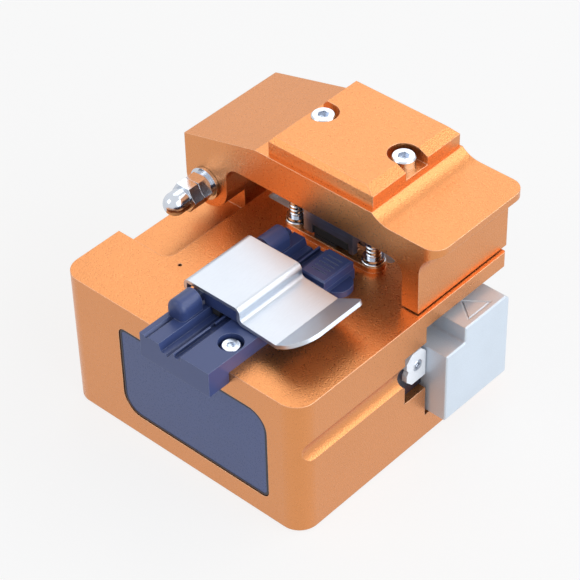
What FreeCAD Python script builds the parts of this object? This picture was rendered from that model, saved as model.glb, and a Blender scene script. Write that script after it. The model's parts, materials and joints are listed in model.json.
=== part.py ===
"""Fibre cleaver: one FreeCAD document, one labelled object for each separate piece.

Frame: +X towards the slide block, +Y away from the nameplate, +Z up, and the origin at the
centre of the underside. Every size is a cell of the spreadsheet "sizes", in millimetres.
Places on the housing are measured from its right side, its front and its top face.
"""
import FreeCAD
import Part
import Sketcher
import math
import os
import re

SIZES = {
    # housing
    "body_width": 60.0,
    "body_depth": 58.7,
    "body_height": 31.1,
    "body_corner": 4.2,
    "rear_corner": 0.5,
    "edge_break": 0.3,
    "mat_stand": 0.5,
    "over_cut": 1.0,
    # bay in the rear left corner where the cover hinges
    "hinge_bay_width": 13.1,
    "hinge_bay_front": 15.4,
    "hinge_bay_depth": 4.3,
    "hinge_bay_corner": 2.5,
    # bay in the right side where the carriage runs
    "bay_front": 35.3,
    "bay_roof": 3.5,
    "bay_floor": 5.3,
    "bay_end_wall": 2.4,
    # window beside the bay, and the finger groove that runs into it
    "window_front": 29.2,
    "window_drop": 7.2,
    "window_height": 11.4,
    "window_length": 9.0,
    "window_bulge": 3.5,
    "window_bulge_front": 31.5,
    "window_bulge_drop": 11.95,
    "insert_recess": 1.6,
    "groove_drop": 9.0,
    "groove_height": 4.9,
    "groove_depth": 0.9,
    # fibre line, blade wheel and its stroke
    "fibre_inset": 26.8,
    "fibre_height": 2.0,
    "blade_front": 39.3,
    "blade_radius": 7.5,
    "blade_thickness": 1.0,
    "blade_bevel": 1.6,
    "blade_edge": 0.1,
    "blade_hub_radius": 3.0,
    "blade_hub_front": 1.5,
    "blade_hub_rear": 0.3,
    "blade_stroke": 5.0,
    "blade_mark_radius": 0.35,
    "blade_mark_depth": 0.1,
    "blade_mark_circle": 4.6,
    "blade_marks": 16,
    "blade_slot_width": 2.0,
    "blade_slot_margin": 0.3,
    "relief_depth": 1.5,
    "relief_front": 2.9,
    "relief_rear": 1.0,
    "axle_radius": 1.0,
    "axle_head_radius": 2.0,
    "axle_head": 0.8,
    "running_gap": 0.05,
    # nameplate
    "plate_left": 45.3,
    "plate_right": 7.9,
    "plate_top": 5.6,
    "plate_bottom": 26.5,
    "plate_sink": 1.0,
    "plate_thickness": 0.8,
    "plate_gap": 0.15,
    "plate_large_corner": 4.4,
    "plate_small_corner": 1.7,
    # pocket behind the blade line with the tray for fibre ends
    "tray_end_wall": 1.4,
    "tray_right": 14.0,
    "tray_front": 41.7,
    "tray_rear": 56.2,
    "tray_depth": 2.0,
    "tray_corner": 0.8,
    "tray_wall": 0.5,
    "tray_bottom": 0.7,
    "tray_gap": 0.1,
    # underside
    "cover_plate_width": 52.0,
    "cover_plate_depth": 50.0,
    "cover_plate_thickness": 1.5,
    "cover_plate_corner": 3.0,
    "cover_plate_gap": 0.1,
    "mat_width": 46.0,
    "mat_depth": 36.0,
    "mat_thickness": 0.8,
    "mat_corner": 4.0,
    "bottom_screw_x": 21.0,
    "bottom_screw_y": 21.5,
    # countersunk screws
    "sunk_head_radius": 1.9,
    "sunk_thread_radius": 1.0,
    "sunk_head": 1.1,
    "sunk_rim": 0.15,
    "short_sunk_length": 3.0,
    "thread_gap": 0.05,
    "socket_flats": 1.5,
    "socket_depth": 0.8,
    # fibre holder
    "holder_left": 6.9,
    "holder_right": 10.2,
    "holder_overhang": 5.2,
    "holder_rear": 34.2,
    "holder_height": 3.2,
    "holder_lip_drop": 2.4,
    "lip_gap": 0.05,
    "guide_groove": 5.3,
    "guide_groove_half": 0.5,
    "guide_groove_depth": 0.6,
    "trough_left": 2.1,
    "trough_draft": 0.5,
    "trough_floor": 1.6,
    "notch_half": 0.4,
    "notch_depth": 0.4,
    "ramp_top": 1.4,
    "ramp_height": 3.0,
    "ramp_land": 0.4,
    "relief_groove_floor": 2.2,
    "ridge_gap_front": 4.4,
    "ridge_gap_rear": 5.6,
    "relief_groove_right": 3.3,
    "holder_screw_right": 7.45,
    "holder_screw_front": 3.6,
    "holder_screw_rear": 21.6,
    "holder_sink_radius": 2.45,
    "holder_sink_depth": 2.2,
    "holder_head_radius": 1.9,
    "holder_head_height": 1.6,
    "holder_thread_radius": 1.0,
    "holder_thread_length": 5.0,
    "holder_socket_flats": 1.5,
    "holder_socket_depth": 0.9,
    "ear_right": 9.5,
    "ear_front": 30.0,
    "ear_radius": 3.1,
    "ear_height": 1.4,
    "rear_block_left": 4.2,
    "rear_block_front": 25.6,
    "rear_block_rear": 33.9,
    "rear_block_height": 1.2,
    "rear_block_sink": 0.8,
    "block_lines": 5,
    "block_line_pitch": 1.1,
    "block_line_width": 0.25,
    "block_line_end": 1.2,
    "block_line_depth": 0.15,
    "lid_magnet_radius": 2.0,
    "lid_magnet_height": 1.6,
    "lid_magnet_front": 13.0,
    # lid of the fibre holder
    "lid_axis_left": 4.7,
    "lid_axis_height": 4.85,
    "lid_pin_radius": 0.75,
    "knuckle_radius": 2.15,
    "knuckle_front": 1.6,
    "knuckle_length": 5.2,
    "knuckle_gap": 0.85,
    "knuckle_round": 1.1,
    "pin_cover": 1.2,
    "lid_length": 16.85,
    "lid_trough": 1.3,
    "lid_trough_right": 3.5,
    "lid_left": 8.0,
    "lid_top": 7.2,
    "lid_skirt": 2.4,
    "lid_sheet": 0.8,
    "lid_step": 5.9,
    "lid_flange": 4.4,
    "lid_bend": 14.6,
    "lid_droop": 0.5,
    "lid_tip": 20.7,
    "lid_rise": 2.8,
    "lid_tip_corner": 5.4,
    "lid_back_corner": 1.2,
    "lid_bend_radius": 1.3,
    "lid_barrel": 1.45,
    "lid_block_right": 4.85,
    "lid_block_bottom": 3.5,
    "lid_pad_left": 1.3,
    "lid_pad_right": 0.4,
    "lid_pad_bottom": 2.15,
    "lid_block_end": 0.4,
    # raised land on the housing that carries the pads and the studs
    "land_height": 1.2,
    "land_width": 4.7,
    "pad_length": 5.2,
    "pad_width": 0.9,
    "pad_top": 1.95,
    "pad_spread": 1.5,
    "stud_left": 8.6,
    "stud_right": 10.5,
    "stud_flange_radius": 2.3,
    "stud_ring_radius": 2.05,
    "stud_neck_radius": 1.7,
    "stud_radius": 1.5,
    "stud_step": 0.55,
    "stud_groove": 0.2,
    "stud_grooves": 3,
    "stud_height": 4.8,
    "stud_bevel": 0.15,
    "stud_spigot": 0.7,
    "stud_spigot_radius": 1.0,
    "stud_socket_flats": 1.5,
    # cover
    "cover_front": 33.76,
    "cover_rear": 59.9,
    "cover_foot_gap": 0.3,
    "hinge_inset": 5.95,
    "hinge_height": 3.9,
    "boss_radius": 5.35,
    "slope_start": 13.3,
    "slope_end": 13.9,
    "cover_top": 18.2,
    "sweep_start": 14.7,
    "sweep_end": 18.9,
    "sweep_radius": 6.04,
    "lip_top": 16.5,
    "lip_bottom": 14.87,
    "lip_reach": 3.2,
    "lip_radius": 5.2,
    "lip_root": 9.8,
    "lip_corner": 3.2,
    "leg_outer": 0.9,
    "leg_inner": 4.85,
    "arch_height": 10.4,
    "arch_radius": 3.2,
    "lug_front": 39.6,
    "lug_length": 13.6,
    "lug_radius": 4.5,
    "lug_gap": 0.3,
    "lug_slot_top": 10.5,
    "cavity_front": 36.7,
    "cavity_rear": 55.2,
    "cavity_roof": 15.4,
    "cover_magnet_radius": 1.5,
    "cover_magnet_height": 1.8,
    "cover_magnet_front": 46.0,
    "head_gap": 0.35,
    # hinge shaft and what is on it
    "shaft_radius": 1.5,
    "bush_radius": 2.3,
    "bush_length": 3.4,
    "shaft_head_radius": 2.7,
    "shaft_head": 1.6,
    "shaft_head_sink": 2.0,
    "shaft_head_gap": 0.3,
    "washer_radius": 3.5,
    "washer_thickness": 0.7,
    "collar_radius": 2.7,
    "collar_length": 0.8,
    "face_gap": 0.06,
    "nut_flats": 5.5,
    "nut_thickness": 2.4,
    "nut_chamfer": 0.35,
    "acorn_hex": 2.6,
    "acorn_radius": 2.4,
    "acorn_neck": 2.2,
    "acorn_bore": 4.2,
    "shaft_end_gap": 0.2,
    # pad plate on the cover
    "top_plate_left": 11.2,
    "top_plate_right": 14.3,
    "top_plate_front": 34.6,
    "top_plate_rear": 59.5,
    "top_plate_height": 4.05,
    "top_plate_bevel": 1.15,
    "bevel_wide": 2.3,
    "bevel_narrow": 0.9,
    "top_screw_left": 8.5,
    "top_screw_right": 11.1,
    "top_screw_front": 47.0,
    "top_screw_sink": 2.9,
    "top_screw_pocket": 3.1,
    "cap_head_radius": 2.35,
    "cap_head_height": 2.4,
    "cap_head_break": 0.25,
    "cap_thread_radius": 1.25,
    "cap_thread_length": 4.5,
    "cap_socket_flats": 2.0,
    "cap_socket_depth": 1.3,
    # sprung pressure head inside the cover
    "head_left": 4.9,
    "head_right": 7.4,
    "head_front": 37.0,
    "head_rear": 54.9,
    "head_leg_rear": 41.6,
    "head_bottom": 2.15,
    "head_step": 9.0,
    "head_top": 12.4,
    "head_window_left": 2.8,
    "head_window_right": 6.3,
    "head_window_top": 4.35,
    "upper_pad_bottom": 2.15,
    "anvil_bottom": 3.0,
    "anvil_width": 0.7,
    "guide_screw_front": 46.5,
    "guide_screw_pitch": 5.6,
    "guide_rod_radius": 0.9,
    "guide_head_radius": 1.6,
    "guide_head": 0.8,
    "guide_head_gap": 0.1,
    "guide_grip": 1.6,
    "spring_bore": 1.0,
    "spring_radius": 1.7,
    "spring_discs": 6,
    "disc_thickness": 0.25,
    "spring_gap": 0.05,
    # slide block and carriage
    "slide_front": 36.0,
    "slide_rear": 54.5,
    "slide_top": 5.3,
    "slide_foot_gap": 0.8,
    "slide_reach": 4.4,
    "slide_inner": 5.5,
    "slide_ledge": 8.9,
    "slide_step": 41.4,
    "slide_step_radius": 0.4,
    "slide_edge": 0.25,
    "slide_rear_bevel": 1.0,
    "arrow_front": 43.4,
    "arrow_rear": 50.6,
    "arrow_apex": 1.4,
    "arrow_base": 3.3,
    "arrow_depth": 0.15,
    "arrow_line": 0.35,
    "rail_front": 46.0,
    "rail_width": 5.0,
    "rail_height": 3.6,
    "rail_waist": 0.5,
    "rail_end": 1.2,
    "rail_screws": 3,
    "rail_screw_start": 6.05,
    "rail_screw_radius": 1.2,
    "rail_thread_radius": 0.7,
    "rail_screw_head": 0.9,
    "rail_screw_length": 4.5,
    "rail_head_gap": 0.1,
    "runner_width": 12.0,
    "runner_length": 14.0,
    "runner_stand": 1.5,
    "runner_height": 6.0,
    "runner_inset": 0.8,
    "runner_gap": 0.1,
    "channel_gap": 0.2,
    "channel_end": 2.0,
    "carrier_thickness": 2.9,
    "carrier_foot": 3.0,
    "carrier_grip": 2.0,
    "carrier_left": 4.0,
    "carrier_bottom": 18.0,
    "carrier_roof_gap": 0.4,
    "carrier_rear": 53.0,
    "carrier_screw_front": 46.6,
    "carrier_screw_drop": 8.0,
    "carrier_screw_pitch": 6.5,
    # nylon shoe that guides the front of the slide block
    "shoe_front": 30.3,
    "shoe_rear": 35.8,
    "shoe_top": 8.2,
    "shoe_bottom": 15.7,
    "shoe_bevel": 1.5,
    "shoe_bevel_drop": 1.5,
    "shoe_notch": 0.5,
    "shoe_notch_half": 0.8,
    "shoe_sink": 0.5,
    "shoe_screw_front": 33.5,
    "shoe_screw_radius": 1.2,
    "shoe_screw_head": 0.9,
    "shoe_thread_radius": 0.7,
    "shoe_thread_length": 9.6,
    "pin_hole_inset": 44.0,
    "pin_hole_front": 15.7,
    "pin_hole_radius": 0.4,
    "pin_hole_depth": 2.5,
}

doc = FreeCAD.newDocument("fibre_cleaver")
sheet = doc.addObject("Spreadsheet::Sheet", "sizes")
EXPORTED = []


def fill_sheet():
    """Write every size as a named cell."""
    for row, (alias, size) in enumerate(SIZES.items(), 1):
        sheet.set(f"A{row}", alias)
        sheet.set(f"B{row}", str(size))
        sheet.setAlias(f"B{row}", alias)
    doc.recompute()


def link(formula):
    """Turn a formula of size names into an expression on the sheet."""
    return re.sub(r"[a-z]+(_[a-z]+)+", lambda name: "sizes." + name.group(0), formula)


def value(formula):
    """Work a formula out now, to give a sketch its first shape."""
    return float(sheet.evalExpression(link(formula)))


def right(inset):
    return f"(body_width / 2 - ({inset}))"


def left_of_fibre(distance):
    return f"(body_width / 2 - fibre_inset - ({distance}))"


def right_of_fibre(distance):
    return f"(body_width / 2 - fibre_inset + {distance})"


def front(distance):
    return f"({distance} - body_depth / 2)"


def top(height):
    return f"(mat_stand + body_height + {height})"


def below(drop):
    return f"(mat_stand + body_height - ({drop}))"


def add_body(label, exported=True):
    body = doc.addObject("PartDesign::Body", label)
    body.Label = label
    if exported:
        EXPORTED.append(body)
    return body


def place(thing, x="0", y="0", z="0"):
    for axis, formula in zip("xyz", (x, y, z)):
        thing.setExpression(f"Placement.Base.{axis}", link(formula))


PLANES = {"X": "YZ_Plane", "Y": "XZ_Plane", "Z": "XY_Plane"}


def new_sketch(body, name, axis, offset):
    """A sketch square to an axis; its own axes are the other two in X, Y, Z order."""
    drawn = body.newObject("Sketcher::SketchObject", name)
    origin = next(item for item in body.Origin.OriginFeatures if item.Role == PLANES[axis])
    drawn.AttachmentSupport = [(origin, "")]
    drawn.MapMode = "FlatFace"
    drawn.setExpression("AttachmentOffset.Base.z", link(offset))
    return drawn


def pin_point(drawn, geometry, vertex, across, up):
    for kind, formula in (("DistanceX", across), ("DistanceY", up)):
        held = Sketcher.Constraint(kind, -1, 1, geometry, vertex, value(formula))
        index = drawn.addConstraint(held)
        drawn.setExpression(f"Constraints[{index}]", link(formula))


def hold_radius(drawn, geometry, formula):
    index = drawn.addConstraint(Sketcher.Constraint("Radius", geometry, value(formula)))
    drawn.setExpression(f"Constraints[{index}]", link(formula))


def draw_circle(drawn, across, up, radius):
    centre = FreeCAD.Vector(value(across), value(up), 0)
    circle = Part.Circle(centre, FreeCAD.Vector(0, 0, 1), value(radius))
    geometry = drawn.addGeometry(circle)
    pin_point(drawn, geometry, 3, across, up)
    hold_radius(drawn, geometry, radius)


def arc_between(start, end, radius):
    """The short arc from start to end; its centre is on the left for a positive radius."""
    chord = end - start
    half = chord.Length / 2
    rise = math.sqrt(max(radius * radius - half * half, 0.0))
    left = FreeCAD.Vector(-chord.y, chord.x, 0).normalize()
    centre = start + chord / 2 + left * math.copysign(rise, radius)
    first = math.atan2(start.y - centre.y, start.x - centre.x)
    last = math.atan2(end.y - centre.y, end.x - centre.x)
    circle = Part.Circle(centre, FreeCAD.Vector(0, 0, 1), abs(radius))
    if radius > 0:
        return Part.ArcOfCircle(circle, first, last)
    return Part.ArcOfCircle(circle, last, first)


def draw_outline(drawn, corners):
    """Close a loop through corners (x, y); a third entry bends the side that follows."""
    points = [FreeCAD.Vector(value(corner[0]), value(corner[1]), 0) for corner in corners]
    sides = []
    for number, corner in enumerate(corners):
        start = points[number]
        end = points[(number + 1) % len(points)]
        if len(corner) == 3:
            radius = value(corner[2])
            geometry = drawn.addGeometry(arc_between(start, end, radius))
            sides.append((geometry, (1, 2) if radius > 0 else (2, 1)))
            hold_radius(drawn, geometry, corner[2].lstrip("-"))
        else:
            geometry = drawn.addGeometry(Part.LineSegment(start, end))
            sides.append((geometry, (1, 2)))
    for number, (geometry, ends) in enumerate(sides):
        after, after_ends = sides[(number + 1) % len(sides)]
        drawn.addConstraint(
            Sketcher.Constraint("Coincident", geometry, ends[1], after, after_ends[0])
        )
        pin_point(drawn, geometry, ends[0], corners[number][0], corners[number][1])


def rectangle(low_across, high_across, low_up, high_up):
    return [
        (low_across, low_up),
        (high_across, low_up),
        (high_across, high_up),
        (low_across, high_up),
    ]


def extrude(body, name, axis, low, high, loops, cut=False):
    """Pad or pocket closed loops between two heights along an axis."""
    offset = f"-({high})" if axis == "Y" else low
    drawn = new_sketch(body, name + "_sketch", axis, offset)
    for loop in loops:
        if loop[0] == "circle":
            draw_circle(drawn, *loop[1:])
        else:
            draw_outline(drawn, loop)
    kind = "PartDesign::Pocket" if cut else "PartDesign::Pad"
    feature = body.newObject(kind, name)
    feature.Profile = drawn
    feature.Reversed = cut
    feature.setExpression("Length", link(f"({high}) - ({low})"))
    body.Tip = feature
    doc.recompute()
    return feature


def cut(body, name, axis, low, high, loops):
    return extrude(body, name, axis, low, high, loops, cut=True)


def revolve(body, name, corners):
    """Turn an outline of (radius, height) about the body's own Z axis."""
    drawn = new_sketch(body, name + "_sketch", "Y", "0")
    draw_outline(drawn, corners)
    feature = body.newObject("PartDesign::Revolution", name)
    feature.Profile = drawn
    feature.ReferenceAxis = (drawn, ["V_Axis"])
    feature.Angle = 360
    body.Tip = feature
    doc.recompute()
    return feature


def hexagon(flats):
    """Six corners about the origin, from the width across flats."""
    corner = f"({flats}) / {math.sqrt(3):.6f}"
    return [
        (f"{corner}", "0"),
        (f"{corner} / 2", f"({flats}) / 2"),
        (f"-{corner} / 2", f"({flats}) / 2"),
        (f"-{corner}", "0"),
        (f"-{corner} / 2", f"-({flats}) / 2"),
        (f"{corner} / 2", f"-({flats}) / 2"),
    ]


def edges_where(body, test):
    """Names of the tip's edges whose two ends both pass a test."""
    names = []
    for number, edge in enumerate(body.Tip.Shape.Edges, 1):
        if len(edge.Vertexes) == 2 and all(test(vertex.Point) for vertex in edge.Vertexes):
            names.append(f"Edge{number}")
    return names


def near(first, formula):
    return abs(first - value(formula)) < 1e-4


def upright(body, x, y):
    """The edges that stand on a place given in plan."""
    return edges_where(body, lambda point: near(point.x, x) and near(point.y, y))


def along_y(body, x, z):
    return edges_where(body, lambda point: near(point.x, x) and near(point.z, z))


def soften(body, name, kind, names, size):
    """Fillet or chamfer named edges of the tip."""
    base = body.Tip
    feature = body.newObject("PartDesign::" + kind, name)
    feature.Base = (base, names)
    feature.setExpression("Radius" if kind == "Fillet" else "Size", link(size))
    body.Tip = feature
    doc.recompute()
    return feature


def group(label, master, places, turn=None):
    """One node of identical pieces: links to a master piece, each at its own place."""
    links = []
    for number, (x, y, z) in enumerate(places, 1):
        copy = doc.addObject("App::Link", f"{label}_{number}")
        copy.LinkedObject = master
        if turn:
            copy.Placement.Rotation = turn
        place(copy, x, y, z)
        links.append(copy)
    node = doc.addObject("Part::Compound", label)
    node.Label = label
    node.Links = links
    EXPORTED.append(node)
    return node


TOP = top("0")
LEFT = "(-body_width / 2)"
RIGHT = "(body_width / 2)"
FRONT = "(-body_depth / 2)"
REAR = "(body_depth / 2)"
HINGE_X = f"({LEFT} + hinge_inset)"
HINGE_Z = top("hinge_height")
LID_X = left_of_fibre("lid_axis_left")
LID_Z = top("lid_axis_height")
FIBRE_X = right("fibre_inset")
BLADE_X = f"({FIBRE_X} - blade_stroke / 2)"
BLADE_Y = front("blade_front")
BAY_LEFT = f"({LEFT} + hinge_bay_width + bay_end_wall)"
TRAY_LEFT = f"({LEFT} + hinge_bay_width + tray_end_wall)"
BAY_FLOOR = "(mat_stand + bay_floor)"
BLADE_Z = top("fibre_height - blade_radius")
FACE_UP = FreeCAD.Rotation()
FACE_DOWN = FreeCAD.Rotation(FreeCAD.Vector(1, 0, 0), 180)
FACE_FRONT = FreeCAD.Rotation(FreeCAD.Vector(1, 0, 0), 90)
FACE_RIGHT = FreeCAD.Rotation(FreeCAD.Vector(0, 1, 0), 90)
FACE_LEFT = FreeCAD.Rotation(FreeCAD.Vector(0, 1, 0), -90)


def plate_outline(gap):
    """The nameplate: two large corners across one diagonal, two small ones on the other."""
    left = f"{right('plate_left')} + {gap}"
    far = f"{right('plate_right')} - {gap}"
    low = f"{below('plate_bottom')} + {gap}"
    high = f"{below('plate_top')} - {gap}"
    large = f"(plate_large_corner - {gap})"
    small = f"(plate_small_corner - {gap})"
    return [
        (f"{left} + {large}", low),
        (f"{far} - {small}", low, small),
        (far, f"{low} + {small}"),
        (far, f"{high} - {large}", large),
        (f"{far} - {large}", high),
        (f"{left} + {small}", high, small),
        (left, f"{high} - {small}"),
        (left, f"{low} + {large}", large),
    ]


def slot_outline(centre_x, centre_y, half_length, width):
    """A slot along X with round ends."""
    half = f"({width}) / 2"
    return [
        (f"{centre_x} - {half_length} + {half}", f"{centre_y} - {half}"),
        (f"{centre_x} + {half_length} - {half}", f"{centre_y} - {half}", half),
        (f"{centre_x} + {half_length}", centre_y, half),
        (f"{centre_x} + {half_length} - {half}", f"{centre_y} + {half}"),
        (f"{centre_x} - {half_length} + {half}", f"{centre_y} + {half}", half),
        (f"{centre_x} - {half_length}", centre_y, half),
    ]


def rounded(low_x, high_x, low_y, high_y, corner):
    """A rectangle with four equal round corners."""
    return [
        (f"{low_x} + {corner}", low_y),
        (f"{high_x} - {corner}", low_y, corner),
        (high_x, f"{low_y} + {corner}"),
        (high_x, f"{high_y} - {corner}", corner),
        (f"{high_x} - {corner}", high_y),
        (f"{low_x} + {corner}", high_y, corner),
        (low_x, f"{high_y} - {corner}"),
        (low_x, f"{low_y} + {corner}", corner),
    ]


def blade_reach(depth_below_fibre):
    """Half the length a slot needs for the wheel, at a depth under the fibre line."""
    chord = f"pow(blade_radius; 2) - pow(blade_radius - ({depth_below_fibre}); 2)"
    return f"(sqrt({chord}) + blade_stroke / 2 + blade_slot_margin)"


def half_round(centre_x, centre_z, radius, foot):
    """Straight sides from a foot height, closed over the top by a half circle."""
    return [
        (f"{centre_x} - {radius}", foot),
        (f"{centre_x} + {radius}", foot),
        (f"{centre_x} + {radius}", centre_z, radius),
        (centre_x, f"{centre_z} + {radius}", radius),
        (f"{centre_x} - {radius}", centre_z),
    ]


def cone_seat(body, name, x, y, z, inward):
    """The seat for a countersunk head, with its mouth at a point on the face."""
    slope = "(sunk_head_radius - sunk_thread_radius) / (sunk_head + thread_gap - sunk_rim)"
    cone = body.newObject("PartDesign::SubtractiveCone", name)
    cone.Placement.Rotation = inward
    place(cone, x, y, z)
    cone.setExpression("Radius1", link(f"sunk_head_radius + thread_gap + sunk_rim * {slope}"))
    cone.setExpression("Radius2", link("sunk_thread_radius + thread_gap"))
    cone.setExpression("Height", link("sunk_head + thread_gap"))
    body.Tip = cone
    doc.recompute()


def turn_off(body, name, corners):
    """Cut a turned outline of (radius, height) away about the body's own Z axis."""
    drawn = new_sketch(body, name + "_sketch", "Y", "0")
    draw_outline(drawn, corners)
    feature = body.newObject("PartDesign::Groove", name)
    feature.Profile = drawn
    feature.ReferenceAxis = (drawn, ["V_Axis"])
    feature.Angle = 360
    body.Tip = feature
    doc.recompute()
    return feature


def sunk_screw():
    """Countersunk screw; its head is at the origin and its thread points along +Z."""
    body = add_body("sunk_screw_master", exported=False)
    revolve(body, "turned", [
        ("0", "0"),
        ("sunk_head_radius", "0"),
        ("sunk_head_radius", "sunk_rim"),
        ("sunk_thread_radius", "sunk_head"),
        ("sunk_thread_radius", "short_sunk_length"),
        ("0", "short_sunk_length"),
    ])
    cut(body, "socket", "Z", "0", "socket_depth", [hexagon("socket_flats")])
    return body


def cap_screw(label, head, height, thread, length, flats, depth):
    """Socket head screw; the top of its head is at the origin, its thread points along +Z."""
    body = add_body(label, exported=False)
    revolve(body, "turned", [
        ("0", "0"),
        (f"{head} - cap_head_break", "0"),
        (head, "cap_head_break"),
        (head, height),
        (thread, height),
        (thread, f"{height} + {length}"),
        ("0", f"{height} + {length}"),
    ])
    cut(body, "socket", "Z", "0", depth, [hexagon(flats)])
    return body


def housing():
    body = add_body("housing")
    extrude(body, "block", "Z", "mat_stand", TOP, [[
        (f"{LEFT} + body_corner", FRONT),
        (f"{RIGHT} - body_corner", FRONT, "body_corner"),
        (RIGHT, f"{FRONT} + body_corner"),
        (RIGHT, f"{REAR} - rear_corner", "rear_corner"),
        (f"{RIGHT} - rear_corner", REAR),
        (f"{LEFT} + rear_corner", REAR, "rear_corner"),
        (LEFT, f"{REAR} - rear_corner"),
        (LEFT, f"{FRONT} + body_corner", "body_corner"),
    ]])
    land_middle = f"({STUD_LEFT} + {STUD_RIGHT}) / 2"
    land_half = f"(({STUD_RIGHT} - {STUD_LEFT}) / 2 + land_width / 2)"
    land = slot_outline(land_middle, BLADE_Y, land_half, "land_width")
    extrude(body, "clamp_land", "Z", TOP, LAND_TOP, [land])
    foot = blade_reach("fibre_height")
    mouth = blade_reach("fibre_height - land_height")
    low = f"({BLADE_Y} - blade_slot_width / 2)"
    cut(body, "land_slot", "Y", low, f"{low} + blade_slot_width", [[
        (f"{FIBRE_X} - {foot}", TOP),
        (f"{FIBRE_X} + {foot}", TOP),
        (f"{FIBRE_X} + {mouth}", LAND_TOP),
        (f"{FIBRE_X} - {mouth}", LAND_TOP),
    ]])
    cut(body, "stud_holes", "Z", f"{LAND_TOP} - stud_spigot", LAND_TOP, [
        ("circle", x, BLADE_Y, "stud_spigot_radius + thread_gap")
        for x in (STUD_LEFT, STUD_RIGHT)
    ])
    inner = right("body_width - hinge_bay_width")
    bay_y = front("hinge_bay_front")
    cut(body, "hinge_bay", "Z", below("hinge_bay_depth"), top("over_cut"), [[
        (f"{LEFT} - over_cut", bay_y),
        (f"{inner} - hinge_bay_corner", bay_y, "hinge_bay_corner"),
        (inner, f"{bay_y} + hinge_bay_corner"),
        (inner, f"{REAR} + over_cut"),
        (f"{LEFT} - over_cut", f"{REAR} + over_cut"),
    ]])
    lug = half_round(HINGE_X, HINGE_Z, "lug_radius", below("hinge_bay_depth"))
    lug_y = front("lug_front")
    extrude(body, "hinge_lug", "Y", lug_y, f"{lug_y} + lug_length", [lug])
    cut(body, "shaft_bore", "Y", lug_y, f"{lug_y} + lug_length", [
        ("circle", HINGE_X, HINGE_Z, "shaft_radius + running_gap"),
    ])
    bay_low_y = front("bay_front")
    room = rectangle(bay_low_y, f"{REAR} + over_cut", BAY_FLOOR, below("bay_roof"))
    cut(body, "carriage_bay", "X", BAY_LEFT, right("-over_cut"), [room])
    relief_reach = blade_reach("fibre_height + bay_roof")
    relief_top = below("bay_roof - relief_depth")
    cut(body, "blade_relief", "Z", below("bay_roof"), relief_top, [rectangle(
        f"{FIBRE_X} - {relief_reach}",
        f"{FIBRE_X} + {relief_reach}",
        f"{BLADE_Y} - relief_front",
        f"{BLADE_Y} + relief_rear",
    )])
    slot_reach = blade_reach("fibre_height + bay_roof - relief_depth")
    cut(body, "blade_slot", "Z", relief_top, TOP, [
        slot_outline(FIBRE_X, BLADE_Y, slot_reach, "blade_slot_width"),
    ])
    window_z = below("window_drop")
    window = rectangle(
        front("window_front"),
        f"{bay_low_y} + over_cut",
        f"{window_z} - window_height",
        window_z,
    )
    cut(body, "window", "X", right("window_length"), right("-over_cut"), [window])
    cut(body, "window_round", "X", right("window_length"), right("-over_cut"), [
        ("circle", front("window_bulge_front"), below("window_bulge_drop"), "window_bulge"),
    ])
    groove_z = below("groove_drop")
    groove_bend = "((pow(groove_height / 2; 2) + pow(groove_depth; 2)) / (2 * groove_depth))"
    cut(body, "finger_groove", "Y", FRONT, front("window_front"), [[
        (f"{RIGHT} + over_cut", f"{groove_z} - groove_height"),
        (f"{RIGHT} + over_cut", groove_z),
        (RIGHT, groove_z, groove_bend),
        (RIGHT, f"{groove_z} - groove_height"),
    ]])
    cut(body, "plate_recess", "Y", FRONT, f"{FRONT} + plate_sink", [plate_outline("0")])
    cut(body, "tray_pocket", "Z", below("tray_depth"), TOP, [rounded(
        TRAY_LEFT,
        right("tray_right"),
        front("tray_front"),
        front("tray_rear"),
        "tray_corner",
    )])
    half_x = "(cover_plate_width / 2)"
    half_y = "(cover_plate_depth / 2)"
    recess_top = "(mat_stand + cover_plate_thickness)"
    recess = rounded(f"-{half_x}", half_x, f"-{half_y}", half_y, "cover_plate_corner")
    cut(body, "underside_recess", "Z", "mat_stand", recess_top, [recess])
    cut(body, "underside_threads", "Z", recess_top, "mat_stand + short_sunk_length + thread_gap", [
        ("circle", x, y, "sunk_thread_radius + thread_gap") for x, y, z in bottom_screw_places()
    ])
    cut(body, "holder_threads", "Z", top("-holder_thread_length"), TOP, [
        ("circle", x, y, "holder_thread_radius + thread_gap") for x, y, z in holder_screw_places()
    ])
    cut(body, "magnet_seat", "Z", below("cover_magnet_height"), TOP, [
        ("circle", MAGNET_X, MAGNET_Y, "cover_magnet_radius + thread_gap"),
    ])
    cut(body, "rail_threads", "Z", f"{BAY_FLOOR} - rail_screw_length + rail_height", BAY_FLOOR, [
        ("circle", x, y, "rail_thread_radius + thread_gap") for x, y, z in rail_screw_places()
    ])
    wall = right("window_length")
    shoe_depth = "shoe_thread_length + shoe_screw_head + shoe_sink + thread_gap"
    cut(body, "shoe_thread", "X", right(shoe_depth), wall, [
        ("circle", SHOE_Y, SHOE_Z, "shoe_thread_radius + thread_gap"),
    ])
    cut(body, "pin_hole", "Z", below("pin_hole_depth"), TOP, [
        ("circle", right("pin_hole_inset"), front("pin_hole_front"), "pin_hole_radius"),
    ])
    return body


def bottom_screw_places():
    return [
        (f"{side}bottom_screw_x", f"{end}bottom_screw_y", "mat_stand")
        for side in ("-", "")
        for end in ("-", "")
    ]


def holder_screw_places():
    seat = top("holder_height - holder_sink_depth + holder_head_height")
    return [
        (right_of_fibre("holder_screw_right"), front(distance), seat)
        for distance in ("holder_screw_front", "holder_screw_rear")
    ]


def rail_screw_places():
    start = f"({BAY_LEFT} + rail_end + rail_screw_start)"
    reach = f"({RIGHT} - rail_end - rail_screw_start - {start})"
    return [
        (
            f"{start} + {reach} * {number} / (rail_screws - 1)",
            front("rail_front"),
            f"{BAY_FLOOR} + rail_height - rail_head_gap",
        )
        for number in range(int(SIZES["rail_screws"]))
    ]


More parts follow.
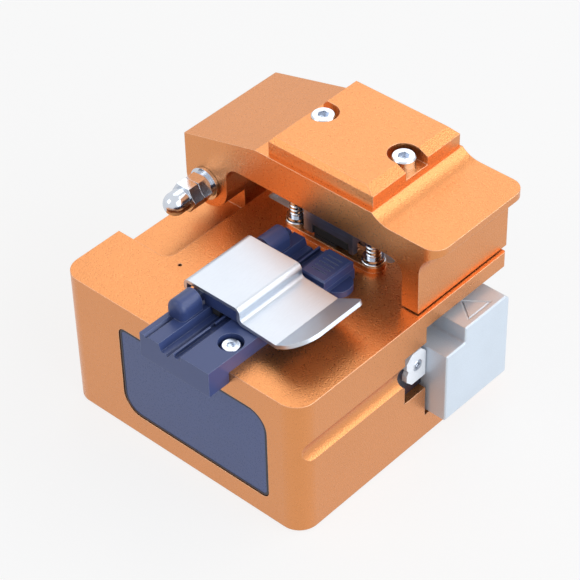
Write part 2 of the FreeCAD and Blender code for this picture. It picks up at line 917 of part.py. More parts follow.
def carrier_screw_places():
    return [
        (CARRIER_X, front("carrier_screw_front"), below(f"carrier_screw_drop + {drop}"))
        for drop in ("0", "carrier_screw_pitch")
    ]


def guide_places():
    middle = left_of_fibre("(head_left - head_right) / 2")
    return [
        (f"{middle} {sign} guide_screw_pitch / 2", front("guide_screw_front"))
        for sign in "-+"
    ]


MAGNET_X = right("(leg_inner + leg_outer) / 2")
MAGNET_Y = front("cover_magnet_front")
SHOE_Y = front("shoe_screw_front")
SHOE_Z = below("window_bulge_drop")
SLIDE_LEFT = right_of_fibre("slide_inner")
CARRIER_X = f"({SLIDE_LEFT} - carrier_foot)"
STUD_LEFT = left_of_fibre("stud_left")
STUD_RIGHT = right_of_fibre("stud_right")
LAND_TOP = top("land_height")


def bottom_plate():
    body = add_body("bottom_plate")
    half_x = "(cover_plate_width / 2 - cover_plate_gap)"
    half_y = "(cover_plate_depth / 2 - cover_plate_gap)"
    roof = "(mat_stand + cover_plate_thickness)"
    corner = "(cover_plate_corner - cover_plate_gap)"
    extrude(body, "sheet", "Z", "mat_stand", roof, [
        rounded(f"-{half_x}", half_x, f"-{half_y}", half_y, corner),
    ])
    mat_x = "(mat_width / 2 + cover_plate_gap)"
    mat_y = "(mat_depth / 2 + cover_plate_gap)"
    cut(body, "mat_seat", "Z", "mat_stand", "mat_thickness", [
        rounded(f"-{mat_x}", mat_x, f"-{mat_y}", mat_y, "(mat_corner + cover_plate_gap)"),
    ])
    cut(body, "screw_holes", "Z", "mat_stand", roof, [
        ("circle", x, y, "sunk_thread_radius + thread_gap") for x, y, z in bottom_screw_places()
    ])
    for number, (x, y, z) in enumerate(bottom_screw_places(), 1):
        cone_seat(body, f"seat_{number}", x, y, z, FACE_UP)


def base_mat():
    body = add_body("base_mat")
    extrude(body, "sheet", "Z", "0", "mat_thickness", [
        rounded("-mat_width / 2", "mat_width / 2", "-mat_depth / 2", "mat_depth / 2", "mat_corner"),
    ])


def nameplate():
    body = add_body("nameplate")
    back = f"({FRONT} + plate_sink)"
    extrude(body, "sheet", "Y", f"{back} - plate_thickness", back, [plate_outline("plate_gap")])


def offcut_tray():
    body = add_body("offcut_tray")
    outer = rounded(
        f"{TRAY_LEFT} + tray_gap",
        right("tray_right + tray_gap"),
        front("tray_front + tray_gap"),
        front("tray_rear - tray_gap"),
        "(tray_corner - tray_gap)",
    )
    extrude(body, "block", "Z", below("tray_depth"), TOP, [outer])
    cut(body, "hollow", "Z", below("tray_depth - tray_bottom"), TOP, [rounded(
        f"{TRAY_LEFT} + tray_gap + tray_wall",
        right("tray_right + tray_gap + tray_wall"),
        front("tray_front + tray_gap + tray_wall"),
        front("tray_rear - tray_gap - tray_wall"),
        "(tray_corner - tray_gap - tray_wall)",
    )])


def holder_base():
    body = add_body("holder_base")
    floor = top("trough_floor")
    crest = top("holder_height")
    extrude(body, "body_bar", "Y", front("-holder_overhang"), front("holder_rear"), [[
        (left_of_fibre("holder_left"), TOP),
        (right_of_fibre("holder_right"), TOP),
        (right_of_fibre("holder_right"), crest),
        (right_of_fibre("relief_groove_right"), crest),
        (right_of_fibre("relief_groove_right"), top("relief_groove_floor")),
        (right_of_fibre("ramp_top + ramp_land"), top("relief_groove_floor")),
        (right_of_fibre("ramp_top + ramp_land"), top("ramp_height")),
        (right_of_fibre("ramp_top"), top("ramp_height")),
        (f"{FIBRE_X} + notch_half", floor),
        (FIBRE_X, f"{floor} - notch_depth"),
        (f"{FIBRE_X} - notch_half", floor),
        (left_of_fibre("trough_left - trough_draft"), floor),
        (left_of_fibre("trough_left"), crest),
        (left_of_fibre("guide_groove - guide_groove_half"), crest),
        (left_of_fibre("guide_groove"), f"{crest} - guide_groove_depth"),
        (left_of_fibre("guide_groove + guide_groove_half"), crest),
        (left_of_fibre("holder_left"), crest),
    ]])
    cut(body, "ridge_gap", "Z", top("relief_groove_floor"), top("ramp_height"), [rectangle(
        right_of_fibre("ramp_top"),
        right_of_fibre("relief_groove_right"),
        front("ridge_gap_front"),
        front("ridge_gap_rear"),
    )])
    lip_low = front("-holder_overhang")
    lip = rectangle(left_of_fibre("holder_left"), right_of_fibre("holder_right"), lip_low, front("-lip_gap"))
    extrude(body, "front_lip", "Z", below("holder_lip_drop"), TOP, [lip])
    extrude(body, "ear", "Z", TOP, top("ear_height"), [
        ("circle", right_of_fibre("ear_right"), front("ear_front"), "ear_radius"),
    ])
    reach = "(knuckle_length + knuckle_gap)"
    barrel = half_round(LID_X, LID_Z, "knuckle_radius", floor)
    first = front("knuckle_front")
    second = f"({front('knuckle_front')} + {reach} + lid_length + knuckle_gap)"
    extrude(body, "front_knuckle", "Y", first, f"{first} + knuckle_length", [barrel])
    extrude(body, "rear_knuckle", "Y", second, f"{second} + knuckle_length", [barrel])
    cut(body, "lid_trough", "Z", top("lid_trough"), f"{LID_Z} + knuckle_radius", [rectangle(
        left_of_fibre("holder_left"),
        left_of_fibre("lid_trough_right"),
        f"{first} + knuckle_length",
        second,
    )])
    axis_height = value(f"{LID_Z} - running_gap")
    arcs = edges_where(body, lambda point: near(point.y, first) and point.z > axis_height)
    soften(body, "knuckle_end", "Fillet", arcs, "knuckle_round")
    cut(body, "pin_bore", "Y", f"{first} + pin_cover", f"{second} + knuckle_length", [
        ("circle", LID_X, LID_Z, "lid_pin_radius + running_gap"),
    ])
    cut(body, "screw_sinks", "Z", f"{crest} - holder_sink_depth", crest, [
        ("circle", x, y, "holder_sink_radius") for x, y, z in holder_screw_places()
    ])
    cut(body, "screw_holes", "Z", TOP, crest, [
        ("circle", x, y, "holder_thread_radius + thread_gap") for x, y, z in holder_screw_places()
    ])
    cut(body, "magnet_seat", "Z", f"{crest} - lid_magnet_height", crest, [
        ("circle", right_of_fibre("holder_screw_right"), front("lid_magnet_front"), "lid_magnet_radius"),
    ])
    cut(body, "block_seat", "Z", f"{crest} - rear_block_sink", crest, [rectangle(
        right_of_fibre("rear_block_left"),
        right_of_fibre("holder_right"),
        front("rear_block_front"),
        front("holder_rear"),
    )])


def holder_rear_block():
    body = add_body("holder_rear_block")
    low = top("holder_height - rear_block_sink")
    high = top("holder_height + rear_block_height")
    extrude(body, "block", "Z", low, high, [rectangle(
        right_of_fibre("rear_block_left + running_gap"),
        right_of_fibre("holder_right"),
        front("rear_block_front + running_gap"),
        front("rear_block_rear"),
    )])
    rim = edges_where(body, lambda point: near(point.z, high))
    soften(body, "rim", "Chamfer", rim, "edge_break")
    middle = front("(rear_block_front + rear_block_rear) / 2")
    lines = []
    for number in range(int(SIZES["block_lines"])):
        low = f"({middle} + ({number} - (block_lines - 1) / 2) * block_line_pitch)"
        lines.append(rectangle(
            right_of_fibre("rear_block_left + block_line_end"),
            right_of_fibre("holder_right - block_line_end"),
            low,
            f"{low} + block_line_width",
        ))
    cut(body, "grip_lines", "Z", f"{high} - block_line_depth", high, lines)


def lid_magnet():
    body = add_body("lid_magnet")
    crest = top("holder_height")
    extrude(body, "disc", "Z", f"{crest} - lid_magnet_height", crest, [(
        "circle",
        right_of_fibre("holder_screw_right"),
        front("lid_magnet_front"),
        "lid_magnet_radius - thread_gap",
    )])


def lid_hinge_pin():
    body = add_body("lid_hinge_pin")
    first = front("knuckle_front")
    length = "(2 * knuckle_length + 2 * knuckle_gap + lid_length)"
    pin = ("circle", LID_X, LID_Z, "lid_pin_radius")
    extrude(body, "pin", "Y", f"{first} + pin_cover", f"{first} + {length} - lip_gap", [pin])


LID_FRONT_Y = front("knuckle_front + knuckle_length + knuckle_gap")


def clamp_lid():
    body = add_body("clamp_lid")
    crown = top("lid_top")
    flange = top("lid_flange")
    climb = "(lid_rise + lid_droop)"
    slope = f"sqrt(pow(lid_tip - lid_bend; 2) + pow({climb}; 2))"
    under_x = f"lid_sheet * {climb} / {slope}"
    under_z = f"lid_sheet * (lid_tip - lid_bend) / {slope}"
    under_bend = f"lid_sheet * ({slope} - (lid_tip - lid_bend)) / {climb}"
    extrude(body, "sheet", "Y", LID_FRONT_Y, f"{LID_FRONT_Y} + lid_length", [[
        (left_of_fibre("lid_left"), f"{crown} - lid_skirt"),
        (left_of_fibre("lid_left - lid_sheet"), f"{crown} - lid_skirt"),
        (left_of_fibre("lid_left - lid_sheet"), f"{crown} - lid_sheet"),
        (right_of_fibre("lid_step - lid_sheet"), f"{crown} - lid_sheet"),
        (right_of_fibre("lid_step - lid_sheet"), f"{flange} - lid_sheet"),
        (f"{right_of_fibre('lid_bend')} + {under_bend}", f"{flange} - lid_droop - lid_sheet"),
        (f"{right_of_fibre('lid_tip')} + {under_x}", f"{flange} + lid_rise - {under_z}"),
        (right_of_fibre("lid_tip"), f"{flange} + lid_rise"),
        (right_of_fibre("lid_bend"), f"{flange} - lid_droop"),
        (right_of_fibre("lid_step"), flange),
        (right_of_fibre("lid_step"), crown),
        (left_of_fibre("lid_left"), crown),
    ]])
    bends = along_y(body, left_of_fibre("lid_left"), crown)
    bends += along_y(body, right_of_fibre("lid_step"), crown)
    bends += along_y(body, right_of_fibre("lid_step - lid_sheet"), f"{flange} - lid_sheet")
    soften(body, "bends", "Fillet", bends, "lid_bend_radius")
    inner_bend = along_y(body, right_of_fibre("lid_step"), flange)
    soften(body, "inner_bend", "Fillet", inner_bend, "lid_bend_radius - lid_sheet / 2")
    inboard = value(right_of_fibre("lid_tip - lid_sheet"))
    end_y = f"{LID_FRONT_Y} + lid_length"
    corner = edges_where(body, lambda point: near(point.y, LID_FRONT_Y) and point.x > inboard)
    soften(body, "tip_corner", "Fillet", corner, "lid_tip_corner")
    corner = edges_where(body, lambda point: near(point.y, end_y) and point.x > inboard)
    soften(body, "back_corner", "Fillet", corner, "lid_back_corner")


def lid_clamp_block():
    body = add_body("lid_clamp_block")
    roof = top("lid_top - lid_sheet")
    foot = top("lid_block_bottom")
    low = f"({LID_FRONT_Y} + lid_block_end)"
    high = f"({LID_FRONT_Y} + lid_length - lid_block_end)"
    extrude(body, "bar", "Y", low, high, [[
        (LID_X, f"{LID_Z} - lid_barrel", "lid_barrel"),
        (f"{LID_X} + lid_barrel", LID_Z),
        (f"{LID_X} + lid_barrel", foot),
        (right_of_fibre("lid_block_right"), foot),
        (right_of_fibre("lid_block_right"), roof),
        (LID_X, roof),
        (LID_X, f"{LID_Z} + lid_barrel", "lid_barrel"),
        (f"{LID_X} - lid_barrel", LID_Z, "lid_barrel"),
    ]])
    cut(body, "pin_bore", "Y", low, high, [
        ("circle", LID_X, LID_Z, "lid_pin_radius + running_gap"),
    ])


def lid_pad():
    body = add_body("lid_pad")
    low = f"({LID_FRONT_Y} + lid_block_end)"
    high = f"({LID_FRONT_Y} + lid_length - lid_block_end)"
    extrude(body, "strip", "Y", low, high, [rectangle(
        left_of_fibre("lid_pad_left"),
        right_of_fibre("lid_pad_right"),
        top("lid_pad_bottom"),
        top("lid_block_bottom"),
    )])


def landing_studs():
    """Flanged studs either side of the blade, where the cover comes to rest."""
    body = add_body("stud_master", exported=False)
    ring_foot = "(stud_step + stud_groove)"
    ring_top = "(2 * stud_step + stud_groove)"
    profile = [
        ("0", "0"),
        ("stud_flange_radius", "0"),
        ("stud_flange_radius", "stud_step - stud_bevel"),
        ("stud_flange_radius - stud_bevel", "stud_step"),
        ("stud_neck_radius", "stud_step"),
        ("stud_neck_radius", ring_foot),
        ("stud_ring_radius", ring_foot),
        ("stud_ring_radius", ring_top),
        ("stud_radius", ring_top),
    ]
    pitch = f"((stud_height - {ring_top}) / (stud_grooves + 1))"
    for number in range(1, int(SIZES["stud_grooves"]) + 1):
        height = f"{ring_top} + {number} * {pitch}"
        profile += [
            ("stud_radius", f"{height} - stud_groove"),
            ("stud_radius - stud_groove", height),
            ("stud_radius", f"{height} + stud_groove"),
        ]
    revolve(body, "turned", profile + [("stud_radius", "stud_height"), ("0", "stud_height")])
    spigot = ("circle", "0", "0", "stud_spigot_radius")
    extrude(body, "spigot", "Z", "-stud_spigot", "0", [spigot])
    socket_floor = "(stud_height - stud_step)"
    cut(body, "socket", "Z", socket_floor, "stud_height", [hexagon("stud_socket_flats")])
    group("landing_studs", body, [
        (x, BLADE_Y, LAND_TOP) for x in (STUD_LEFT, STUD_RIGHT)
    ])


def pad_pair(label, left, length, low, high):
    """Two strips across the fibre, one each side of the blade."""
    master = add_body(label + "_master", exported=False)
    extrude(master, "strip", "Z", "0", f"{high} - {low}", [rectangle(
        f"-({length}) / 2", f"({length}) / 2", "-pad_width / 2", "pad_width / 2"
    )])
    group(label, master, [
        (left, f"{BLADE_Y} {sign} pad_spread", low) for sign in "-+"
    ])


def cover_arm():
    body = add_body("cover_arm")
    radius = "boss_radius"
    arch = top("arch_height")
    foot = top("cover_foot_gap")
    extrude(body, "arm", "Y", front("cover_front"), front("cover_rear"), [[
        (HINGE_X, f"{HINGE_Z} - {radius}", radius),
        (f"{HINGE_X} + {radius}", HINGE_Z),
        (f"{HINGE_X} + {radius}", f"{arch} - arch_radius", "-arch_radius"),
        (f"{HINGE_X} + {radius} + arch_radius", arch),
        (right("leg_inner + arch_radius"), arch, "-arch_radius"),
        (right("leg_inner"), f"{arch} - arch_radius"),
        (right("leg_inner"), foot),
        (right("leg_outer"), foot),
        (right("leg_outer"), top("lip_root"), "-lip_radius"),
        (right("-lip_reach"), top("lip_bottom")),
        (right("-lip_reach"), top("lip_top")),
        (right_of_fibre("sweep_end"), top("lip_top"), "-sweep_radius"),
        (right_of_fibre("sweep_start"), top("cover_top")),
        (left_of_fibre("slope_end"), top("cover_top")),
        (f"{HINGE_X} - {radius}", top("slope_start")),
        (f"{HINGE_X} - {radius}", HINGE_Z, radius),
    ]])
    low = front("lug_front - lug_gap")
    high = front("lug_front + lug_length + lug_gap")
    cut(body, "lug_slot", "Y", low, high, [rectangle(
        f"{LEFT} - over_cut",
        f"{HINGE_X} + {radius} + over_cut",
        f"{HINGE_Z} - {radius} - over_cut",
        top("lug_slot_top"),
    )])
    cut(body, "head_cavity", "Z", f"{arch} - over_cut", top("cavity_roof"), [rectangle(
        left_of_fibre("head_left + head_gap"),
        right_of_fibre("(head_right + head_gap)"),
        front("cavity_front"),
        front("cavity_rear"),
    )])
    cut(body, "hinge_bores", "Y", front("cover_front"), front("cover_rear"), [
        ("circle", HINGE_X, HINGE_Z, "bush_radius + thread_gap"),
    ])
    cut(body, "head_sink", "Y", front("cover_rear - shaft_head_sink"), front("cover_rear"), [
        ("circle", HINGE_X, HINGE_Z, "shaft_head_radius + shaft_head_gap"),
    ])
    cut(body, "magnet_seat", "Z", foot, f"{foot} + cover_magnet_height", [
        ("circle", MAGNET_X, MAGNET_Y, "cover_magnet_radius + thread_gap"),
    ])
    cut(body, "plate_threads", "Z", top("cover_top - cap_thread_length"), top("cover_top"), [
        ("circle", x, y, "cap_thread_radius + thread_gap") for x, y, z in top_screw_places()
    ])
    cut(body, "guide_threads", "Z", top("cavity_roof"), top("cavity_roof + guide_grip"), [
        ("circle", x, y, "guide_rod_radius + thread_gap") for x, y in guide_places()
    ])
    corners = upright(body, right("-lip_reach"), front("cover_front"))
    corners += upright(body, right("-lip_reach"), front("cover_rear"))
    soften(body, "lip_corners", "Fillet", corners, "lip_corner")


def top_screw_places():
    seat = top("cover_top + top_plate_height - top_screw_sink + cap_head_height")
    return [
        (x, front("top_screw_front"), seat)
        for x in (left_of_fibre("top_screw_left"), right_of_fibre("top_screw_right"))
    ]


def top_plate():
    body = add_body("top_plate")
    seat = top("cover_top")
    crest = top("cover_top + top_plate_height")
    shoulder = f"{crest} - top_plate_bevel"
    left = left_of_fibre("top_plate_left")
    far = right_of_fibre("top_plate_right")
    low = front("top_plate_front")
    high = front("top_plate_rear")
    extrude(body, "slab", "Y", low, high, [[
        (left, seat),
        (far, seat),
        (far, shoulder),
        (f"{far} - bevel_wide", crest),
        (f"{left} + bevel_narrow", crest),
        (left, shoulder),
    ]])
    for name, edge, sign in (("front_bevel", low, "+"), ("rear_bevel", high, "-")):
        cut(body, name, "X", left, far, [[
            (edge, shoulder),
            (f"{edge} {sign} bevel_narrow", crest),
            (edge, f"{crest} + top_plate_bevel"),
        ]])
    middle = front("top_screw_front")
    pocket = "top_screw_pocket"
    floor = f"{crest} - top_screw_sink"
    screws = (
        ("left_pocket", left_of_fibre("top_screw_left"), f"({left} - over_cut)", "+", ""),
        ("right_pocket", right_of_fibre("top_screw_right"), f"({far} + over_cut)", "-", "-"),
    )
    for name, centre, edge, way, turn in screws:
        cut(body, name, "Z", floor, crest, [[
            (edge, f"{middle} - {pocket}"),
            (centre, f"{middle} - {pocket}", f"{turn}{pocket}"),
            (f"{centre} {way} {pocket}", middle, f"{turn}{pocket}"),
            (centre, f"{middle} + {pocket}"),
            (edge, f"{middle} + {pocket}"),
        ]])
    cut(body, "screw_holes", "Z", seat, floor, [
        ("circle", x, y, "cap_thread_radius + thread_gap") for x, y, z in top_screw_places()
    ])


def turned_along_y(label, place_y, corners, bore=None):
    """A turned or hexagonal piece of the hinge whose own +Z looks to the front."""
    body = add_body(label)
    body.Placement.Rotation = FACE_FRONT
    place(body, HINGE_X, place_y, HINGE_Z)
    revolve(body, "turned", corners)
    if bore:
        cut(body, "bore", "Z", bore[0], bore[1], [("circle", "0", "0", bore[2])])
    return body


WASHER_BACK = front("cover_front - face_gap")
NUT_BACK = front("cover_front - face_gap - washer_thickness - collar_length")
ACORN_BACK = f"({NUT_BACK} - nut_thickness)"


def hinge_washer():
    length = "(washer_thickness + collar_length)"
    turned_along_y("hinge_washer", WASHER_BACK, [
        ("0", "0"),
        ("washer_radius", "0"),
        ("washer_radius", "washer_thickness"),
        ("collar_radius", "washer_thickness"),
        ("collar_radius", length),
        ("0", length),
    ], ("0", length, "shaft_radius + running_gap"))


def hex_piece(label, place_y, height):
    body = add_body(label)
    body.Placement.Rotation = FACE_FRONT
    place(body, HINGE_X, place_y, HINGE_Z)
    extrude(body, "hexagon", "Z", "0", height, [hexagon("nut_flats")])
    flat = "(nut_flats / 2)"
    for name, face, sign in (("back_turn", "0", "+"), ("front_turn", height, "-")):
        turn_off(body, name, [
            (flat, face),
            (f"{flat} + over_cut", face),
            (f"{flat} + over_cut", f"{face} {sign} over_cut * nut_chamfer"),
        ])
    return body


def lock_nut():
    body = hex_piece("lock_nut", NUT_BACK, "nut_thickness")
    bore = ("circle", "0", "0", "shaft_radius + running_gap")
    cut(body, "bore", "Z", "0", "nut_thickness", [bore])


def acorn_nut():
    body = hex_piece("acorn_nut", ACORN_BACK, "acorn_hex")
    shoulder = "(acorn_hex + acorn_neck)"
    revolve(body, "dome", [
        ("0", "acorn_hex / 2"),
        ("acorn_radius", "acorn_hex / 2"),
        ("acorn_radius", shoulder, "acorn_radius"),
        ("0", f"{shoulder} + acorn_radius"),
    ])
    bore = ("circle", "0", "0", "shaft_radius + running_gap")
    cut(body, "bore", "Z", "0", "acorn_bore", [bore])


def hinge_shaft():
    head_back = front("cover_rear - shaft_head_sink + shaft_head_gap + shaft_head")
    tip = f"({ACORN_BACK} - acorn_bore + shaft_end_gap)"
    length = f"({head_back} - {tip})"
    turned_along_y("hinge_shaft", head_back, [
        ("0", "0"),
        ("shaft_head_radius - edge_break", "0"),
        ("shaft_head_radius", "edge_break"),
        ("shaft_head_radius", "shaft_head"),
        ("shaft_radius", "shaft_head"),
        ("shaft_radius", f"{length} - edge_break"),
        ("shaft_radius - edge_break", length),
        ("0", length),
    ])


def hinge_bushes():
    body = add_body("bush_master", exported=False)
    extrude(body, "tube", "Z", "0", "bush_length", [
        ("circle", "0", "0", "bush_radius"),
        ("circle", "0", "0", "shaft_radius + running_gap"),
    ])
    places = (
        front("lug_front - lug_gap"),
        front("lug_front + lug_length + lug_gap + bush_length"),
    )
    group("hinge_bushes", body, [(HINGE_X, y, HINGE_Z) for y in places], FACE_FRONT)


def magnet(label, height):
    body = add_body(label)
    extrude(body, "disc", "Z", height, f"{height} + cover_magnet_height - thread_gap", [
        ("circle", MAGNET_X, MAGNET_Y, "cover_magnet_radius"),
    ])


def clamp_frame():
    """Sprung frame: a bar inside the cover and two legs that reach down to the fibre."""
    body = add_body("clamp_frame")
    left = left_of_fibre("head_left")
    far = right_of_fibre("head_right")
    foot = top("head_bottom")
    step = top("head_step")
    crest = top("head_top")
    low = front("head_front")
    extrude(body, "bar", "Z", step, crest, [rectangle(left, far, low, front("head_rear"))])
    extrude(body, "legs", "Z", foot, step, [rectangle(left, far, low, front("head_leg_rear"))])
    window = rectangle(
        left_of_fibre("head_window_left"), right_of_fibre("head_window_right"), foot, top("head_window_top")
    )
    cut(body, "window", "Y", low, front("head_leg_rear"), [window])
    blade_y = f"({BLADE_Y} - blade_slot_width / 2)"
    blade_room = rectangle(blade_y, f"{blade_y} + blade_slot_width", foot, top("head_window_top"))
    cut(body, "blade_room", "X", left, far, [blade_room])
    cut(body, "guide_holes", "Z", step, crest, [
        ("circle", x, y, "guide_rod_radius + running_gap") for x, y in guide_places()
    ])


def anvil():
    body = add_body("anvil")
    extrude(body, "strip", "Y", f"{BLADE_Y} - anvil_width / 2", f"{BLADE_Y} + anvil_width / 2", [
        rectangle(
            left_of_fibre("head_window_left"),
            right_of_fibre("head_window_right"),
            top("anvil_bottom"),
            top("head_window_top"),
        ),
    ])


def guide_screws():
    body = add_body("guide_master", exported=False)
    foot = "(guide_head + guide_head_gap)"
    length = f"({foot} + cavity_roof - head_step + guide_grip)"
    revolve(body, "turned", [
        ("0", "0"),
        ("guide_head_radius", "0"),
        ("guide_head_radius", "guide_head"),
        ("guide_rod_radius", "guide_head"),
        ("guide_rod_radius", length),
        ("0", length),
    ])
    cut(body, "slot", "Z", "0", "guide_head / 2", [rectangle(
        "-guide_head_radius", "guide_head_radius", "-guide_head / 4", "guide_head / 4"
    )])
    group("guide_screws", body, [
        (x, y, top("head_step - guide_head_gap - guide_head")) for x, y in guide_places()
    ])


def pressure_springs():
    """Stacks of disc springs, drawn as one coned sleeve from the frame to the cover."""
    body = add_body("spring_master", exported=False)
    pitch = "((cavity_roof - head_top - 2 * spring_gap) / spring_discs)"
    outer = []
    inner = []
    for number in range(int(SIZES["spring_discs"]) + 1):
        height = f"{number} * {pitch}"
        swell = "0" if number % 2 else "(spring_radius - spring_bore - disc_thickness)"
        outer.append((f"spring_bore + disc_thickness + {swell}", height))
        inner.append((f"spring_bore + {swell}", height))
    revolve(body, "turned", outer + inner[::-1])
    group("pressure_springs", body, [
        (x, y, top("head_top + spring_gap")) for x, y in guide_places()
    ])


def linear_rail():
    body = add_body("linear_rail")
    middle = front("rail_front")
    floor = BAY_FLOOR
    edge = "(rail_width / 2)"
    waist = "(rail_width / 2 - rail_waist)"
    extrude(body, "rail", "X", f"{BAY_LEFT} + rail_end", right("rail_end"), [[
        (f"{middle} - {edge}", floor),
        (f"{middle} + {edge}", floor),
        (f"{middle} + {edge}", f"{floor} + rail_height / 3"),
        (f"{middle} + {waist}", f"{floor} + rail_height / 2"),
        (f"{middle} + {edge}", f"{floor} + rail_height * 2 / 3"),
        (f"{middle} + {edge}", f"{floor} + rail_height"),
        (f"{middle} - {edge}", f"{floor} + rail_height"),
        (f"{middle} - {edge}", f"{floor} + rail_height * 2 / 3"),
        (f"{middle} - {waist}", f"{floor} + rail_height / 2"),
        (f"{middle} - {edge}", f"{floor} + rail_height / 3"),
    ]])
    crest = f"({floor} + rail_height)"
    cut(body, "screw_holes", "Z", floor, crest, [
        ("circle", x, y, "rail_thread_radius + thread_gap") for x, y, z in rail_screw_places()
    ])
    cut(body, "screw_sinks", "Z", f"{crest} - rail_head_gap - rail_screw_head", crest, [
        ("circle", x, y, "rail_screw_radius + thread_gap") for x, y, z in rail_screw_places()
    ])


def runner_block():
    body = add_body("runner_block")
    middle = front("rail_front")
    floor = BAY_FLOOR
    start = f"({SLIDE_LEFT} + runner_inset)"
    outer = "(runner_width / 2)"
    inner = "(rail_width / 2 + runner_gap)"
    foot = f"{floor} + runner_stand"
    crest = f"{floor} + runner_height"
    ceiling = f"{floor} + rail_height + runner_gap"
    extrude(body, "saddle", "X", start, f"{start} + runner_length", [[
        (f"{middle} - {outer}", foot),
        (f"{middle} - {inner}", foot),
        (f"{middle} - {inner}", ceiling),
        (f"{middle} + {inner}", ceiling),
        (f"{middle} + {inner}", foot),
        (f"{middle} + {outer}", foot),
        (f"{middle} + {outer}", crest),
        (f"{middle} - {outer}", crest),
    ]])


def slide_block():
    body = add_body("slide_block")
    low = front("slide_front")
    high = front("slide_rear")
    step = front("slide_step")
    foot = f"({BAY_FLOOR} + slide_foot_gap)"
    crest = below("slide_top")
    ledge = below("slide_ledge")
    face = right("-slide_reach")
    extrude(body, "block", "X", SLIDE_LEFT, face, [[
        (low, foot),
        (high, foot),
        (high, f"{crest} - slide_rear_bevel"),
        (f"{high} - slide_rear_bevel", crest),
        (step, crest),
        (step, f"{ledge} + slide_step_radius", "-slide_step_radius"),
        (f"{step} - slide_step_radius", ledge),
        (low, ledge),
    ]])
    middle = front("rail_front")
    half = "(runner_width / 2 + channel_gap)"
    roof = f"({BAY_FLOOR} + runner_height)"
    cut(body, "channel", "X", SLIDE_LEFT, f"{face} - channel_end", [
        rectangle(f"{middle} - {half}", f"{middle} + {half}", foot, roof),
    ])
    cut(body, "carrier_threads", "X", SLIDE_LEFT, f"{SLIDE_LEFT} + carrier_grip", [
        ("circle", y, z, "sunk_thread_radius + thread_gap") for x, y, z in carrier_screw_places()
    ])
    cut(body, "arrow", "Z", f"{crest} - arrow_depth", crest, [
        arrow_outline("0"),
        arrow_outline("arrow_line"),
    ])
    rim = edges_where(body, lambda point: near(point.x, face))
    soften(body, "rim", "Chamfer", rim, "slide_edge")


def arrow_outline(inset):
    """The arrow that shows which way to push, drawn in from its outer line."""
    reach = "(arrow_apex + arrow_base)"
    half = "((arrow_rear - arrow_front) / 2)"
    side = f"(sqrt(pow({reach}; 2) + pow({half}; 2)) / {half})"
    base = f"({right('-arrow_base')} - {inset})"
    apex = f"({right('arrow_apex')} + {inset} * {side})"
    spread = f"(({base} - {apex}) * {half} / {reach})"
    middle = front("(arrow_front + arrow_rear) / 2")
    return [
        (base, f"{middle} - {spread}"),
        (base, f"{middle} + {spread}"),
        (apex, middle),
    ]


def blade_carrier():
    body = add_body("blade_carrier")
    low = f"({BLADE_Y} + blade_thickness / 2 + blade_hub_rear)"
    foot_x = SLIDE_LEFT
    extrude(body, "angle", "Z", below("carrier_bottom"), below("bay_roof + carrier_roof_gap"), [[
        (f"{BLADE_X} - carrier_left", low),
        (foot_x, low),
        (foot_x, front("carrier_rear")),
        (CARRIER_X, front("carrier_rear")),
        (CARRIER_X, f"{low} + carrier_thickness"),
        (f"{BLADE_X} - carrier_left", f"{low} + carrier_thickness"),
    ]])
    cut(body, "axle_bore", "Y", low, f"{low} + carrier_thickness", [
        ("circle", BLADE_X, BLADE_Z, "axle_radius + running_gap"),
    ])
    cut(body, "screw_holes", "X", CARRIER_X, foot_x, [
        ("circle", y, z, "sunk_thread_radius + thread_gap") for x, y, z in carrier_screw_places()
    ])
    for number, (x, y, z) in enumerate(carrier_screw_places(), 1):
        cone_seat(body, f"seat_{number}", x, y, z, FACE_RIGHT)


def on_blade_axis(label, exported=True):
    body = add_body(label, exported)
    body.Placement.Rotation = FACE_FRONT
    place(body, BLADE_X, BLADE_Y, BLADE_Z)
    return body


def blade_axle():
    body = on_blade_axis("blade_axle")
    face = "(blade_thickness / 2 + blade_hub_front + running_gap)"
    tail = "(-blade_thickness / 2 - blade_hub_rear - carrier_thickness)"
    revolve(body, "turned", [
        ("0", tail),
        ("axle_radius", tail),
        ("axle_radius", face),
        ("axle_head_radius", face),
        ("axle_head_radius", f"{face} + axle_head"),
        ("0", f"{face} + axle_head"),
    ])


def blade_wheel():
    """Hardened wheel with a keen rim and a dot for each position it can be turned to."""
    body = on_blade_axis("blade_wheel")
    half = "blade_thickness / 2"
    shoulder = "(blade_radius - blade_bevel)"
    revolve(body, "turned", [
        ("axle_radius + running_gap", f"-{half}"),
        (shoulder, f"-{half}"),
        ("blade_radius", "-blade_edge / 2"),
        ("blade_radius", "blade_edge / 2"),
        (shoulder, half),
        ("axle_radius + running_gap", half),
    ])
    dots = []
    for number in range(int(SIZES["blade_marks"])):
        angle = 2 * math.pi * number / SIZES["blade_marks"]
        across = f"blade_mark_circle * {math.cos(angle):.6f}"
        up = f"blade_mark_circle * {math.sin(angle):.6f}"
        dots.append(("circle", across, up, "blade_mark_radius"))
    cut(body, "dots", "Z", f"{half} - blade_mark_depth", half, dots)


def blade_hub():
    body = on_blade_axis("blade_hub")
    face = "(blade_thickness / 2)"
    bore = ("circle", "0", "0", "axle_radius + running_gap")
    extrude(body, "knob", "Z", face, f"{face} + blade_hub_front", [
        ("circle", "0", "0", "blade_hub_radius"), bore
    ])


def blade_spacer():
    body = on_blade_axis("blade_spacer")
    face = "(blade_thickness / 2)"
    extrude(body, "ring", "Z", f"-{face} - blade_hub_rear + running_gap", f"-{face}", [
        ("circle", "0", "0", "axle_head_radius"),
        ("circle", "0", "0", "axle_radius + running_gap"),
    ])


